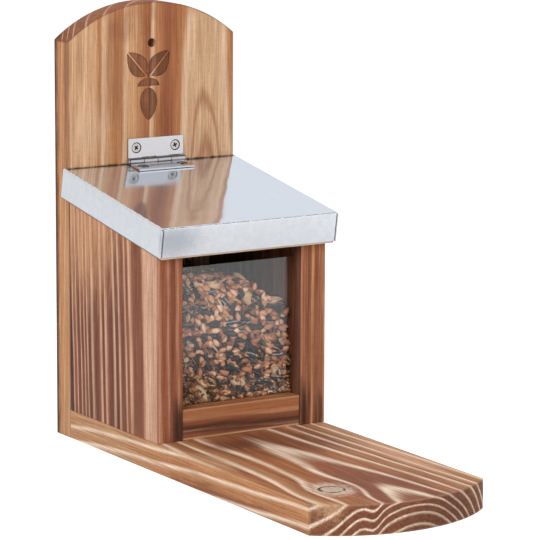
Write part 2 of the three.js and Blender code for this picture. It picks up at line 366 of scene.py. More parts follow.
def node_group(*outputs: str) -> Callable[[Callable], Callable]:
    """Makes a node group of a function that reckons with signals.

    The group takes the function's name, and its input sockets take the names and the usual
    values of the function's arguments after the graph.

    Args:
        outputs: Names of the values that the function returns.

    Returns:
        A decorator. The function that it returns places the group in a graph.
    """

    def title(name: str) -> str:
        """Returns a socket's name."""
        return name.replace("_", " ").title()

    def build(reckon: Callable) -> Callable:
        """Builds the group once."""
        tree = bpy.data.node_groups.new(reckon.__name__, "ShaderNodeTree")
        usual = [(n, p.default) for n, p in signature(reckon).parameters.items() if n != "g"]
        for name, value in usual:
            kind = "NodeSocketVector" if isinstance(value, tuple) else "NodeSocketFloat"
            tree.interface.new_socket(name=title(name), in_out="INPUT",
                                      socket_type=kind).default_value = value
        for name in outputs:
            tree.interface.new_socket(name=name, in_out="OUTPUT", socket_type="NodeSocketFloat")
        g = Graph(tree)
        given = tree.nodes.new("NodeGroupInput").outputs[:len(usual)]
        made = reckon(g, *(Signal(g, socket) for socket in given))
        results = tree.nodes.new("NodeGroupOutput").inputs
        for socket, value in zip(results, made if isinstance(made, tuple) else (made,)):
            g.feed(socket, value)

        def place(g: Graph, **values: Value) -> Signal | tuple[Signal, ...]:
            """Places the group in a graph and returns its output, or all of them."""
            node = g.node("Group", {title(n): v for n, v in values.items()}, node_tree=tree).node
            shown = tuple(Signal(g, socket) for socket in node.outputs)
            return shown if len(shown) > 1 else shown[0]

        return place

    return build


@node_group("Radius")
def growth_rings(g: Graph, place: Value = ZERO, pith_across: Value = 0.0,
                 pith_through: Value = 0.0, drift: Value = 0.0, taper: Value = 0.0,
                 wobble: Value = 1.0, seed: Value = 0.0) -> Signal:
    """Returns a point's distance from the tree's pith, in millimetres."""
    across, through, along = g.axes(place)
    a = across - pith_across - along * drift
    t = through - pith_through
    shift = g.join(seed * 31.7, 0.0, 0.0)
    waves = g.noise(place * (0.03, 0.03, 0.011) + shift, detail=1.0) - 0.5
    frays = g.noise(place * (0.6, 0.6, 0.03) + shift, detail=3.0, rough=0.6) - 0.5
    return g.math("SQRT", a * a + t * t) + along * taper + (waves * 5.0 + frays) * wobble


@node_group("Line", "Year Tone")
def ring_lines(g: Graph, years: Value = 0.0, width: Value = 0.3, tail: Value = 0.08,
               sharp: Value = 1.0) -> tuple[Signal, Signal]:
    """Returns the pale late wood at the end of each year's growth, and a tone for each year."""
    part, year = g.math("FRACT", years), g.math("FLOOR", years)
    band = g.most(g.span(part, 1.0 - width, 1.0), g.span(part, 0.0, tail, 1.0, 0.0))
    line = g.math("POWER", band, sharp) * g.line(g.random(year), 0.85, 1.0)
    return line, g.random(year + 40.5)


@node_group("Fine", "Broad", "Pores", "Blotch")
def wood_fibre(g: Graph, place: Value = ZERO) -> tuple[Signal, ...]:
    """Returns fine fibres, broad streaks, small pores and blotches along the grain."""
    fibres = g.noise(place * (1.1, 1.1, 0.022), detail=5.0, rough=0.72)
    strokes = g.noise(place * (0.12, 0.12, 1.5)) - 0.5
    broad = g.noise(place * (0.33, 0.33, 0.014), detail=3.0)
    pores = g.span(g.noise(place * (2.1, 2.1, 0.16)), 0.58, 0.72)
    return fibres + strokes * 0.1, broad, pores, g.noise(place * (0.05, 0.05, 0.03))


@node_group("Edge", "Distance", "End")
def board_edges(g: Graph, place: Value = ZERO, low: Value = ZERO, high: Value = (1.0, 1.0, 1.0),
                arch_centre: Value = 0.0, arch_radius: Value = 9999.0,
                width: Value = 1.5) -> tuple[Signal, ...]:
    """Returns a band along a board's edges, the distance to them, and its arched end."""
    across, _, along = g.axes(place)
    beyond = g.most(abs(along) - arch_centre, 0.0)
    inside = arch_radius - g.math("SQRT", across * across + beyond * beyond)
    wide, deep, long = (g.least(*pair) for pair in zip(g.axes(place - low), g.axes(high - place)))
    ends = abs(g.least(long, inside))
    second = g.most(g.least(wide, deep), g.least(g.most(wide, deep), ends))
    edge = g.span(second, 0.0, width, 1.0, 0.0)
    return edge, second, g.span(abs(inside), 0.2, 0.8, 1.0, 0.0)


@node_group("Patch")
def scorch_patch(g: Graph, place: Value = ZERO, centre: Value = ZERO,
                 reach: Value = (10.0, 10.0, 10.0)) -> Signal:
    """Returns a soft patch where the flame has lingered, or where shade is painted."""
    ragged = g.noise(place * (0.35, 0.35, 0.05), detail=3.0) - 0.5
    away = g.vector("LENGTH", (place - centre) / reach)
    return g.span(away + ragged, 0.25, 1.1, 1.0, 0.0)


@node_group("Disc", "Rim", "Halo")
def wood_knot(g: Graph, place: Value = ZERO, across: Value = 0.0, along: Value = 0.0,
              radius: Value = 7.0) -> tuple[Signal, ...]:
    """Returns a knot's disc, its dark rim and the pale wood round it."""
    x, _, z = g.axes(place)
    a, b = x - across, z - along
    ragged = g.noise(place, 0.35, 3.0, 0.6) - 0.5
    uneven = g.vector("LENGTH", g.join(a, b, 0.0)) + ragged * 2.6
    inner = radius - 1.0
    disc = g.span(uneven, inner - 0.5, inner, 1.0, 0.0)
    broken = g.span(g.noise(place, 0.3, 1.0), 0.3, 0.45)
    rim = g.span(abs(uneven - inner), 0.4, 1.2, 1.0, 0.0) * broken
    wide = g.vector("LENGTH", g.join(a / 15.0, b / 19.0, 0.0)) + ragged * 0.9
    return disc, rim, g.span(wide, 0.5, 1.1, 1.0, 0.0)


@node_group("Shift")
def ring_swell(g: Graph, place: Value = ZERO, centre: Value = ZERO,
               reach: Value = (9.0, 99.0, 50.0), push: Value = 4.0, part: Value = 0.0) -> Signal:
    """Returns how far the rings are pushed aside round a place."""
    away = (place - centre) / reach
    bell = g.math("EXPONENT", g.vector("DOT_PRODUCT", away, away) * -1.0)
    return bell * (g.axes(away)[0] * part + push)


@node_group("Crystals", "Streaks", "Scuffs")
def zinc_spangle(g: Graph, place: Value = ZERO) -> tuple[Signal, ...]:
    """Returns crystals, rolling streaks and fine scuffs on galvanised sheet."""
    bent = g.noise(place, 0.25)
    crystals = g.axes(g.cells(place + g.join(bent, bent, bent), 0.3, "Color"))[0]
    streaks = g.noise(place * (0.9, 0.02, 0.9), detail=3.0)
    return crystals, streaks, g.noise(place * (0.35, 0.9, 0.9), detail=5.0, rough=0.7)


# Finishes


class Skin:
    """A new material with one Principled shader on its surface."""

    def __init__(self, name: str) -> None:
        """Makes the material."""
        self.material = bpy.data.materials.new(name)
        self.g = Graph.of(self.material)
        self.shader = self.g.node("BsdfPrincipled")
        self.g.show(self.shader)

    def wear(self, **values: Value) -> bpy.types.Material:
        """Sets the shader's sockets and returns the material."""
        for name, value in values.items():
            self.g.feed(self.shader.node.inputs[name.replace("_", " ")], value)
        return self.material


@dataclass(frozen=True)
class Face:
    """A face of a board that has taken the flame otherwise than the rest, or that is darkened as
    painted shade.

    Args:
        axis: The board axis that it looks along: 0 across, 1 through, 2 along.
        at: Where the face lies on that axis.
        inward: How far in from it the tone has gone, with a sign that gives the way in.
        tone: The tone that it takes.
        share: How far it takes that tone.
        over: Whether the tone lies over the pale lines too.
    """

    axis: int
    at: float
    inward: float
    tone: Triple
    share: float
    over: bool = False


@dataclass(frozen=True)
class Scorch:
    """A soft burnt or pale patch, or a patch of painted shade, in a board's own axes, over or under
    the pale lines.
    """

    centre: Triple
    reach: Triple
    tone: Triple
    share: float
    over: bool = True


@dataclass(frozen=True)
class Knot:
    """A knot that shows on a board's face."""

    across: float
    along: float
    radius: float


@dataclass(frozen=True)
class Swell:
    """A place round which the rings move, all the same way or apart, by some millimetres."""

    centre: Triple
    reach: Triple
    push: float
    part: float = 0.0


@dataclass(frozen=True)
class FlamedWood:
    """Softwood that was flamed, brushed and oiled, with its rings where this board has them.

    Args:
        name: The material's name.
        lay: Which way the board lies.
        low: The board's lowest corner across, through and along.
        high: The board's highest corner.
        pith: Place of the tree's pith, across and through.
        years: Distances from the pith at which a year ends, nearest first.
        tones: Distances from the pith with the tone of the wood there.
        drift: How far the rings lean across, for each unit along.
        taper: How much the rings narrow, for each unit along.
        wobble: How far the rings waver, as a share of the usual.
        line: Tone of the pale lines.
        line_share: How strongly the pale lines show.
        line_width: Share of a year that is pale before its end.
        line_tail: Share of the next year that is pale too.
        line_sharp: How much brighter the pale lines are in their middle.
        grain: Contrast of the fine grain.
        veins: Distances from the pith of thin reddish lines.
        faces: Faces of another tone.
        patches: Scorched patches, and patches of painted shade.
        knot: A knot, if it has one.
        swells: Places that push the rings aside.
        edge: Tone along the edges.
        edge_share: How strongly the edges show it.
        arch: Centre and radius of an arched end.
        end: Tone of the arched end between its lines.
        end_share: How strongly the arched end shows it.
        engraved: Depth from which an engraving is burnt, if there is one.
    """

    name: str
    lay: Lay
    low: Triple
    high: Triple
    pith: Pair
    years: tuple[float, ...]
    tones: tuple[tuple[float, Triple], ...]
    drift: float = 0.0
    taper: float = 0.0
    wobble: float = 1.0
    line: Triple = CREAM
    line_share: float = 0.8
    line_width: float = 0.3
    line_tail: float = 0.08
    line_sharp: float = 1.0
    grain: float = 0.8
    veins: tuple[float, ...] = ()
    faces: tuple[Face, ...] = ()
    patches: tuple[Scorch, ...] = ()
    knot: Knot | None = None
    swells: tuple[Swell, ...] = ()
    edge: Triple = BROWN
    edge_share: float = 0.45
    arch: Pair = (0.0, 9999.0)
    end: Triple = UMBER
    end_share: float = 0.0
    engraved: float | None = None

    REACH = 160.0  # farthest distance from the pith that the tones and years cover

    def count_years(self, g: Graph, radius: Signal) -> Signal:
        """Returns the number of years that have passed at a distance from the pith."""
        inner, outer = self.years[0], self.years[-1]
        step = (outer - inner) / (len(self.years) - 1)
        before = [inner - step * i for i in range(int(inner / step), 0, -1)]
        after = [outer + step * i for i in range(1, int((self.REACH - outer) / step) + 1)]
        ends = [*before, *self.years, *after]
        curve = g.node("FloatCurve", {"Value": radius / self.REACH})
        line = curve.node.mapping.curves[0]
        line.points[0].location, line.points[1].location = (0.0, 0.0), (1.0, 1.0)
        for i, end in enumerate(ends, 1):
            line.points.new(end / self.REACH, i / (len(ends) + 1))
        for point in line.points:
            point.handle_type = "VECTOR"
        curve.node.mapping.update()
        return curve * (len(ends) + 1)

    def stain(self, g: Graph, colour: Signal, place: Signal, over: bool) -> Signal:
        """Lays the tones of single faces and patches over a colour.

        Args:
            g: The material's graph.
            colour: The colour so far.
            place: Place across, through and along the board.
            over: Which of them: those over the pale lines, or those under them.

        Returns:
            The colour with them.
        """
        board = g.axes(place)
        for face in self.faces:
            if face.over is over:
                shown = g.span(board[face.axis], face.at, face.at + face.inward, face.share, 0.0)
                colour = g.dye(shown, colour, face.tone)
        for patch in self.patches:
            if patch.over is over:
                spot = scorch_patch(g, place=place, centre=patch.centre, reach=patch.reach)
                colour = g.dye(spot * patch.share, colour, patch.tone)
        return colour

    def material(self) -> bpy.types.Material:
        """Makes the material."""
        skin = Skin(self.name)
        g = skin.g
        parts = dict(zip("XYZ", g.axes(g.millimetres())))
        place = g.join(*(parts[axis] for axis in self.lay.value))
        depth = g.axes(place)[1]
        radius = growth_rings(g, place=place, pith_across=self.pith[0], pith_through=self.pith[1],
                              drift=self.drift, taper=self.taper, wobble=self.wobble,
                              seed=len(self.name))
        for swell in self.swells:
            radius += ring_swell(g, place=place, **vars(swell))
        pale, year_tone = ring_lines(g, years=self.count_years(g, radius), width=self.line_width,
                                     tail=self.line_tail, sharp=self.line_sharp)
        fine, broad, pores, blotch = wood_fibre(g, place=place)
        edge, inland, end = board_edges(g, place=place, low=self.low, high=self.high,
                                        arch_centre=self.arch[0], arch_radius=self.arch[1],
                                        width=1.4)

        colour = g.ramp(radius / self.REACH, [(at / self.REACH, tone) for at, tone in self.tones])
        colour = self.stain(g, colour, place, over=False)
        colour = g.dye(end * self.end_share, colour, self.end)
        colour = g.dye(g.line(year_tone, 0.0, 0.1), colour, DARK)
        streak = g.span(broad, 0.42, 0.66, 0.0, 0.62 * self.grain)
        colour = g.deepen(streak, colour, (0.62, 0.52, 0.47))
        line = pale * self.line_share
        colour = g.dye(line * g.span(blotch, 0.3, 0.65, 0.8, 1.0), colour, self.line)
        for vein in self.veins:
            colour = g.dye(g.span(abs(radius - vein), 0.0, 0.28, 0.6, 0.0), colour, RUSSET)
        colour = self.stain(g, colour, place, over=True)
        if self.knot:
            disc, rim, halo = wood_knot(g, place=place, **vars(self.knot))
            for share, tone in ((halo * 0.85, BARE), (disc, ASH), (rim * 0.95, CHAR)):
                colour = g.dye(share, colour, tone)
        grain = g.span(fine, 0.3, 0.7)
        colour = g.mix(self.grain, colour,
                       g.mix(grain, (0.56, 0.47, 0.41), (1.42, 1.45, 1.47)), "MULTIPLY")
        colour = g.dye(pores * g.span(line, 0.2, 0.7, 0.34, 0.1), colour, DARK)
        colour = g.dye(edge * self.edge_share, colour, self.edge)
        if self.engraved is not None:
            deep = g.span(depth, self.engraved, self.engraved + 0.3)
            near = g.span(depth, 1.0, 1.5, 1.0, 0.0) * g.span(inland, 4.0, 5.0)
            light = grain * g.span(blotch, 0.35, 0.6, 0.25, 1.2)
            colour = g.mix(deep * near * 0.85, colour, g.dye(light, linear(BURNT), RUSSET))
        return skin.wear(Base_Color=colour, Roughness=g.line(grain, 0.68, 0.52),
                         Specular_IOR_Level=0.2,
                         Normal=g.bump(pale * 0.7 + fine * 0.9, 0.00016, 0.8))


def raw_softwood() -> bpy.types.Material:
    """Makes planed softwood that was left raw, with painted shade on its side faces."""
    skin = Skin("raw_softwood")
    g = skin.g
    place = g.millimetres()
    x, y, z = g.axes(place)
    radius = growth_rings(g, place=place, pith_across=12.0, pith_through=90.0, drift=0.03,
                          taper=0.01, seed=3.0)
    line, _ = ring_lines(g, years=radius / 5.2, width=0.45, tail=0.06)
    fine = wood_fibre(g, place=g.join(x, z, y))[0]
    grain = g.span(fine, 0.25, 0.75)
    colour = g.dye(line * 0.6, linear((240, 216, 182)), (206, 166, 124))
    colour = g.mix(0.25, colour, g.mix(grain, (0.6, 0.5, 0.4), (1.0, 1.0, 1.0)), "MULTIPLY")
    # Painted shade: the side faces, under the sheet's skirts, are darkened.
    colour = g.dye(g.span(abs(x), 60.9, 61.3, 0.0, 0.85), colour, DARK)
    return skin.wear(Base_Color=colour, Roughness=g.line(grain, 0.75, 0.6),
                     Normal=g.bump(fine, 0.00012, 0.7))


@dataclass(frozen=True)
class GalvanisedSheet:
    """Galvanised sheet: rubbed bright on top, matt on the skirts, worn along the folds.

    Args:
        top: Level of the sheet's top in the lid's own frame, in millimetres.
        front: Place of the front skirt's face along the slope.
        side: Half the lid's width.
        skirt: Height of the skirts.
    """

    top: float
    front: float
    side: float
    skirt: float

    BRIGHT = (231, 240, 253)
    MATT = (212, 216, 221)
    FRESH = (238, 243, 249)
    TARNISH = (168, 178, 190)
    DULL = (190, 196, 204)
    WORN = (216, 210, 200)
    SHADE = (128, 116, 106)

    def material(self) -> bpy.types.Material:
        """Makes the material."""
        skin = Skin("galvanised_sheet")
        g = skin.g
        place = g.node("Mapping", {"Vector": g.millimetres(), "Location": HINGE,
                                   "Rotation": (SLOPE, 0.0, 0.0)}, vector_type="TEXTURE")
        across, along, level = g.axes(place)
        crystals, streaks, scuffs = zinc_spangle(g, place=place)
        top = g.span(level, self.top - 1.0, self.top - 0.25)
        from_front = along - self.front
        inward = g.least(self.side - abs(across), from_front)
        from_fold = abs(abs(inward) + abs(self.top - level) - 0.75)
        chipped = g.span(g.noise(place * (0.9, 0.9, 0.2), 1.0, 3.0, 0.7), 0.47, 0.6)
        worn = g.span(from_fold, 0.15, 0.85, 1.0, 0.0) * chipped
        skirt = g.dye(g.span(from_front, 0.6, 1.2, 1.0, 0.0), linear(self.MATT), self.FRESH)
        skirt = g.dye(g.line(crystals, 0.0, 0.12), skirt, self.DULL)
        skirt = g.dye(g.span(scuffs, 0.5, 0.75, 0.0, 0.35), skirt, self.DULL)
        stain = (8.0 - self.side, self.front, self.top - 8.0)
        far = g.vector("LENGTH", (place - stain) / (26.0, 4.0, 14.0)) + (scuffs - 0.5)
        skirt = g.dye(g.span(far, 0.1, 1.1, 0.7, 0.0), skirt, self.TARNISH)
        bright = g.dye(g.span(streaks, 0.3, 0.75, 0.0, 0.1), linear(self.BRIGHT), self.DULL)
        colour = g.dye(worn * 0.6, g.mix(top, skirt, bright), self.WORN)
        hem = self.top - self.skirt
        colour = g.dye(g.span(level, hem, hem + 0.6, 0.6, 0.0), colour, self.SHADE)
        matt = g.line(crystals, 0.4, 0.52)
        rough = matt - top * (matt - g.span(scuffs, 0.3, 0.7, 0.075, 0.13)) + worn * 0.3
        waves = g.noise(place * (0.02, 0.03, 0.03), detail=1.0)
        return skin.wear(Base_Color=colour, Roughness=rough,
                         Metallic=g.line(top, 0.86, 0.91) - worn * 0.5,
                         Normal=g.bump(waves + crystals * 0.002, 0.0012, 0.5))


@dataclass(frozen=True)
class PlatedMetal:
    """Plated steel with a fine directional grain and dark dirt in its hollows.

    Args:
        name: The material's name.
        colour: The plating.
        stain: What dulls it in places.
        smooth: Lowest and highest roughness.
        polished: Distance from the hinge's axis up to which it is polished.
    """

    name: str
    colour: Triple
    stain: Triple
    smooth: Pair
    polished: float = 0.0

    GLEAM = (186, 184, 187)

    def material(self) -> bpy.types.Material:
        """Makes the material."""
        skin = Skin(self.name)
        g = skin.g
        place = g.millimetres()
        _, streaks, scuffs = zinc_spangle(g, place=place)
        brushed = g.noise(place * (0.25, 5.0, 5.0), detail=3.0)
        colour = g.dye(g.span(scuffs, 0.5, 0.75, 0.0, 0.4), linear(self.colour), self.stain)
        colour = g.dye(g.span(streaks, 0.4, 0.7, 0.0, 0.15), colour, self.stain)
        _, y, z = g.axes(place - tuple(HINGE))
        away = g.vector("LENGTH", g.join(0.0, y, z))
        satin = g.span(away, self.polished, self.polished + 0.2)
        return skin.wear(Base_Color=g.mix(satin, linear(self.GLEAM), colour),
                         Roughness=satin * g.span(brushed, 0.3, 0.7, *self.smooth) + 0.05,
                         Metallic=1.0, Normal=g.bump(brushed, 0.00002, 0.35))


def grime() -> bpy.types.Material:
    """Returns the painted shade for screw recesses and countersinks, a near-black matt colour, made
    once.
    """
    found = bpy.data.materials.get("recess_grime")
    if found:
        return found
    skin = Skin("recess_grime")
    specks = skin.g.noise(skin.g.millimetres(), 2.0, 3.0)
    return skin.wear(Base_Color=skin.g.dye(specks, linear((18, 16, 15)), (52, 47, 44)),
                     Roughness=skin.g.span(specks, 0.3, 0.7, 0.6, 0.8), Specular_IOR_Level=0.1)


def clear_acrylic() -> bpy.types.Material:
    """Makes a clear sheet with a faint film of dust."""
    skin = Skin("clear_acrylic")
    g = skin.g
    dust = g.noise(g.millimetres() * (0.6, 0.6, 0.25), 1.0, 4.0, 0.7)
    film = g.mix(g.span(dust, 0.5, 0.9, 0.0, 0.5), (0.96, 0.97, 0.98), (0.9, 0.91, 0.92))
    g.show(g.blend(g.ray("Shadow"), skin.shader, g.node("BsdfTransparent")))
    return skin.wear(Base_Color=film, Roughness=g.span(dust, 0.45, 0.8, 0.015, 0.07),
                     Metallic=0.0, Transmission_Weight=1.0, IOR=1.49)


@dataclass(frozen=True)
class SeedCoat:
    """The skin of one kind of seed, with a different tone on each seed.

    Args:
        name: The material's name.
        tones: Tones from one kind of seed to the other end of its range.
        rough: Roughness.
        stripe: Tone of stripes along the seed, if it has them.
    """

    name: str
    tones: tuple[Triple, ...]
    rough: float
    stripe: Triple | None = None

    STRIPES = 2.2  # round half a seed

    def material(self) -> bpy.types.Material:
        """Makes the material."""
        skin = Skin(self.name)
        g = skin.g
        own_tone = g.node("Attribute", out="Fac", attribute_name="seed_tone")
        own_place = g.node("Attribute", out="Vector", attribute_name="seed_place")
        last = len(self.tones) - 1
        colour = g.ramp(own_tone, [(i / last, tone) for i, tone in enumerate(self.tones)])
        along, across, _ = g.axes(own_place)
        spots = g.noise(own_place + g.join(own_tone, own_tone, 0.0), 2.5, 3.0)
        colour = g.deepen(g.span(spots, 0.4, 0.7, 0.0, 0.45), colour, (0.55, 0.45, 0.4))
        # Painted shade: each seed darkens towards its outline.
        rim = g.span(g.vector("LENGTH", g.join(along, across, 0.0)), 0.6, 1.0, 0.0, 0.8)
        colour = g.deepen(rim, colour, (0.36, 0.26, 0.22))
        if self.stripe:
            wave = g.math("SINE", (across * self.STRIPES + own_tone) * math.pi)
            some = g.span(own_tone, 0.4, 0.9, 0.1, 0.8)
            worn = g.span(g.noise(own_place, 2.0), 0.35, 0.6)
            colour = g.dye(g.span(wave, 0.4, 0.9) * some * worn, colour, self.stripe)
        return skin.wear(Base_Color=colour, Normal=g.bump(spots, 0.0002, 0.5),
                         Roughness=g.span(spots, 0.3, 0.7, self.rough, self.rough + 0.2))


def seed_dust() -> bpy.types.Material:
    """Makes the crumbs and the painted shadow between the seeds."""
    skin = Skin("seed_dust")
    g = skin.g
    place = g.millimetres()
    pick = g.axes(g.cells(place, 0.45, "Color"))[0]
    colour = g.ramp(pick, [(0.0, (14, 11, 10)), (0.5, (34, 23, 18)), (0.85, (80, 52, 34)),
                           (1.0, (24, 19, 18))])
    return skin.wear(Base_Color=colour, Roughness=g.line(pick, 0.7, 0.9),
                     Normal=g.bump(g.cells(place, 0.45, "Distance") * -1.0, 0.001))


# Shaping

Test = Callable[[bmesh.types.BMVert | bmesh.types.BMEdge | bmesh.types.BMFace], bool]


def put_down() -> None:
    """Leaves edit mode and deselects everything."""
    if bpy.context.object and bpy.context.object.mode != "OBJECT":
        bpy.ops.object.mode_set(mode="OBJECT")
    bpy.ops.object.select_all(action="DESELECT")


def runs(edge: bmesh.types.BMEdge, axis: int) -> bool:
    """Says whether an edge runs along an axis."""
    a, b = (vert.co for vert in edge.verts)
    return abs((b - a).normalized()[axis]) > 0.9


def sharp(edge: bmesh.types.BMEdge) -> bool:
    """Says whether the surface turns sharply at an edge."""
    return edge.calc_face_angle(0) > 0.5


def anything(_: object) -> bool:
    """Says yes."""
    return True


class Workpiece:
    """A mesh that is shaped with Blender's operators. Its sizes are in millimetres."""

    def __init__(self, name: str) -> None:
        """Takes the object that an operator has just added."""
        self.obj = bpy.context.object
        self.obj.name = name
        self.obj.data.name = name
        self.settle()

    @classmethod
    def add(cls, name: str, shape: str, **settings: object) -> "Workpiece":
        """Adds a primitive.

        Args:
            name: The object's name.
            shape: The primitive, as its operator names it.
            settings: The operator's settings, in metres.

        Returns:
            The piece, with its place and size in its mesh.
        """
        put_down()
        getattr(bpy.ops.mesh, f"primitive_{shape}_add")(**settings)
        return cls(name)

    @classmethod
    def block(cls, name: str, low: Triple, high: Triple) -> "Workpiece":
        """Returns a block between its lowest and its highest corner."""
        a, b = Vector(low) * MM, Vector(high) * MM
        return cls.add(name, "cube", size=1, location=(a + b) / 2, scale=b - a)

    @classmethod
    def cone(cls, name: str, centre: Triple | Vector, radii: Pair, depth: float, sides: int,
             turn: Triple = ZERO) -> "Workpiece":
        """Returns a cut-off cone.

        Args:
            name: The object's name.
            centre: Its middle.
            radii: Its radius at the foot and at the top.
            depth: Its length.
            sides: Faces round it.
            turn: How it is turned from upright.

        Returns:
            The cone.
        """
        return cls.add(name, "cone", vertices=sides, radius1=radii[0] * MM, radius2=radii[1] * MM,
                       depth=depth * MM, location=Vector(centre) * MM, rotation=turn)

    @classmethod
    def disc(cls, name: str, centre: Triple, radius: float, depth: float, axis: str = "X",
             sides: int = 32) -> "Workpiece":
        """Returns a round rod along an axis, with its sizes as for a cone."""
        turn = {"X": (0.0, math.pi / 2, 0.0), "Y": (math.pi / 2, 0.0, 0.0), "Z": ZERO}[axis]
        return cls.cone(name, centre, (radius, radius), depth, sides, turn)

    def activate(self) -> None:
        """Makes this the one selected and active object."""
        put_down()
        self.obj.select_set(True)
        bpy.context.view_layer.objects.active = self.obj

    def settle(self) -> None:
        """Moves the object's place, turn and size into its mesh."""
        self.activate()
        bpy.ops.object.transform_apply(location=True, rotation=True, scale=True)

    def remove(self) -> None:
        """Deletes the piece."""
        bpy.data.objects.remove(self.obj, do_unlink=True)

    @contextmanager
    def editing(self, part: Part, test: Test = anything) -> Iterator[None]:
        """Opens edit mode with the elements selected that pass a test.

        Args:
            part: Which kind of element is selected.
            test: Gets a vertex, edge or face and says whether to select it.

        Yields:
            Nothing; operators run inside.
        """
        self.activate()
        bpy.ops.object.mode_set(mode="EDIT")
        bpy.context.tool_settings.mesh_select_mode = tuple(kind is part for kind in Part)
        bpy.ops.mesh.select_all(action="DESELECT")
        mesh = bmesh.from_edit_mesh(self.obj.data)
        for element in getattr(mesh, part.value):
            element.select_set(test(element))
        mesh.select_flush_mode()
        bmesh.update_edit_mesh(self.obj.data)
        yield
        bpy.ops.object.mode_set(mode="OBJECT")

    def cut_off(self, at: Triple, way: Triple) -> "Workpiece":
        """Cuts away what lies beyond a plane through a point, on the side that way looks to."""
        with self.editing(Part.VERTEX):
            bpy.ops.mesh.bisect(plane_co=Vector(at) * MM, plane_no=way, use_fill=True,
                                clear_outer=True)
        return self

    def stretch(self, test: Test, by: Triple, narrow: float = 1.0) -> "Workpiece":
        """Extrudes the faces that pass a test by a distance, and narrows them across z."""
        with self.editing(Part.FACE, test):
            move = tuple(length * MM for length in by)
            bpy.ops.mesh.extrude_region_move(TRANSFORM_OT_translate={"value": move})
            if narrow != 1.0:
                bpy.ops.transform.resize(value=(narrow, narrow, 1.0))
        return self

    def bevel(self, width: float, segments: int = 3, test: Test = sharp) -> "Workpiece":
        """Rounds the edges that pass a test, over a width with some segments."""
        with self.editing(Part.EDGE, test):
            bpy.ops.mesh.bevel(offset=width * MM, offset_type="OFFSET", segments=segments,
                               affect="EDGES", clamp_overlap=True)
        return self

    def scale(self, part: Part, test: Test, by: Triple) -> "Workpiece":
        """Scales the elements that pass a test about their middle."""
        with self.editing(part, test):
            bpy.ops.transform.resize(value=by)
        return self

    def modify(self, kind: str, **settings: object) -> "Workpiece":
        """Adds a modifier and applies it."""
        self.activate()
        modifier = self.obj.modifiers.new(kind.lower(), kind)
        for name, value in settings.items():
            setattr(modifier, name, value)
        bpy.ops.object.modifier_apply(modifier=modifier.name)
        return self

    def combine(self, other: "Workpiece", operation: str = "DIFFERENCE") -> "Workpiece":
        """Cuts another piece out of this one, or joins it to this one, and uses it up."""
        self.modify("BOOLEAN", object=other.obj, operation=operation, solver="EXACT")
        other.remove()
        return self

    def copy(self, name: str) -> "Workpiece":
        """Returns a copy with a mesh of its own."""
        self.activate()
        bpy.ops.object.duplicate()
        return Workpiece(name)

    def line_with(self, material: bpy.types.Material, test: Test) -> "Workpiece":
        """Gives the faces that pass a test a second material."""
        with self.editing(Part.FACE, test):
            for own in (None, material):
                self.obj.data.materials.append(own)
            self.obj.active_material_index = 1
            bpy.ops.object.material_slot_assign()
        return self

    def place(self, matrix: Matrix) -> "Workpiece":
        """Moves the piece from its own frame, in metres, to where a matrix puts it."""
        self.obj.matrix_world = matrix @ self.obj.matrix_world
        self.settle()
        return self

    def finish(self, material: bpy.types.Material, body: Body, slot: Slot | None = None,
               *nodes: str, smooth: float = 40.0) -> None:
        """Gives the finished piece its material, its body and the nodes that it stands for.

        Args:
            material: Its finish.
            body: What it moves with.
            slot: The record's slot of that finish; not used.
            nodes: CAD nodes that it replaces.
            smooth: Largest angle across a smooth edge, in degrees.
        """
        with self.editing(Part.FACE):
            bpy.ops.mesh.remove_doubles(threshold=TINY)
            bpy.ops.mesh.normals_make_consistent(inside=False)
        bpy.ops.object.shade_smooth_by_angle(angle=math.radians(smooth))
        self.modify("WEIGHTED_NORMAL", keep_sharp=True)
        if self.obj.data.materials:
            self.obj.data.materials[0] = material
        else:
            self.obj.data.materials.append(material)
        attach(self.obj, body.value)
        if nodes:
            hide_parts(*nodes)
        put_down()
        log.info("%s: %d faces", self.obj.name, len(self.obj.data.polygons))


IN_ROW = Matrix.Translation((0.0, BACK_FACE * MM, 0.0))
IN_LID = Matrix.Translation(row(*HINGE)) @ Matrix.Rotation(SLOPE, 4, "X")


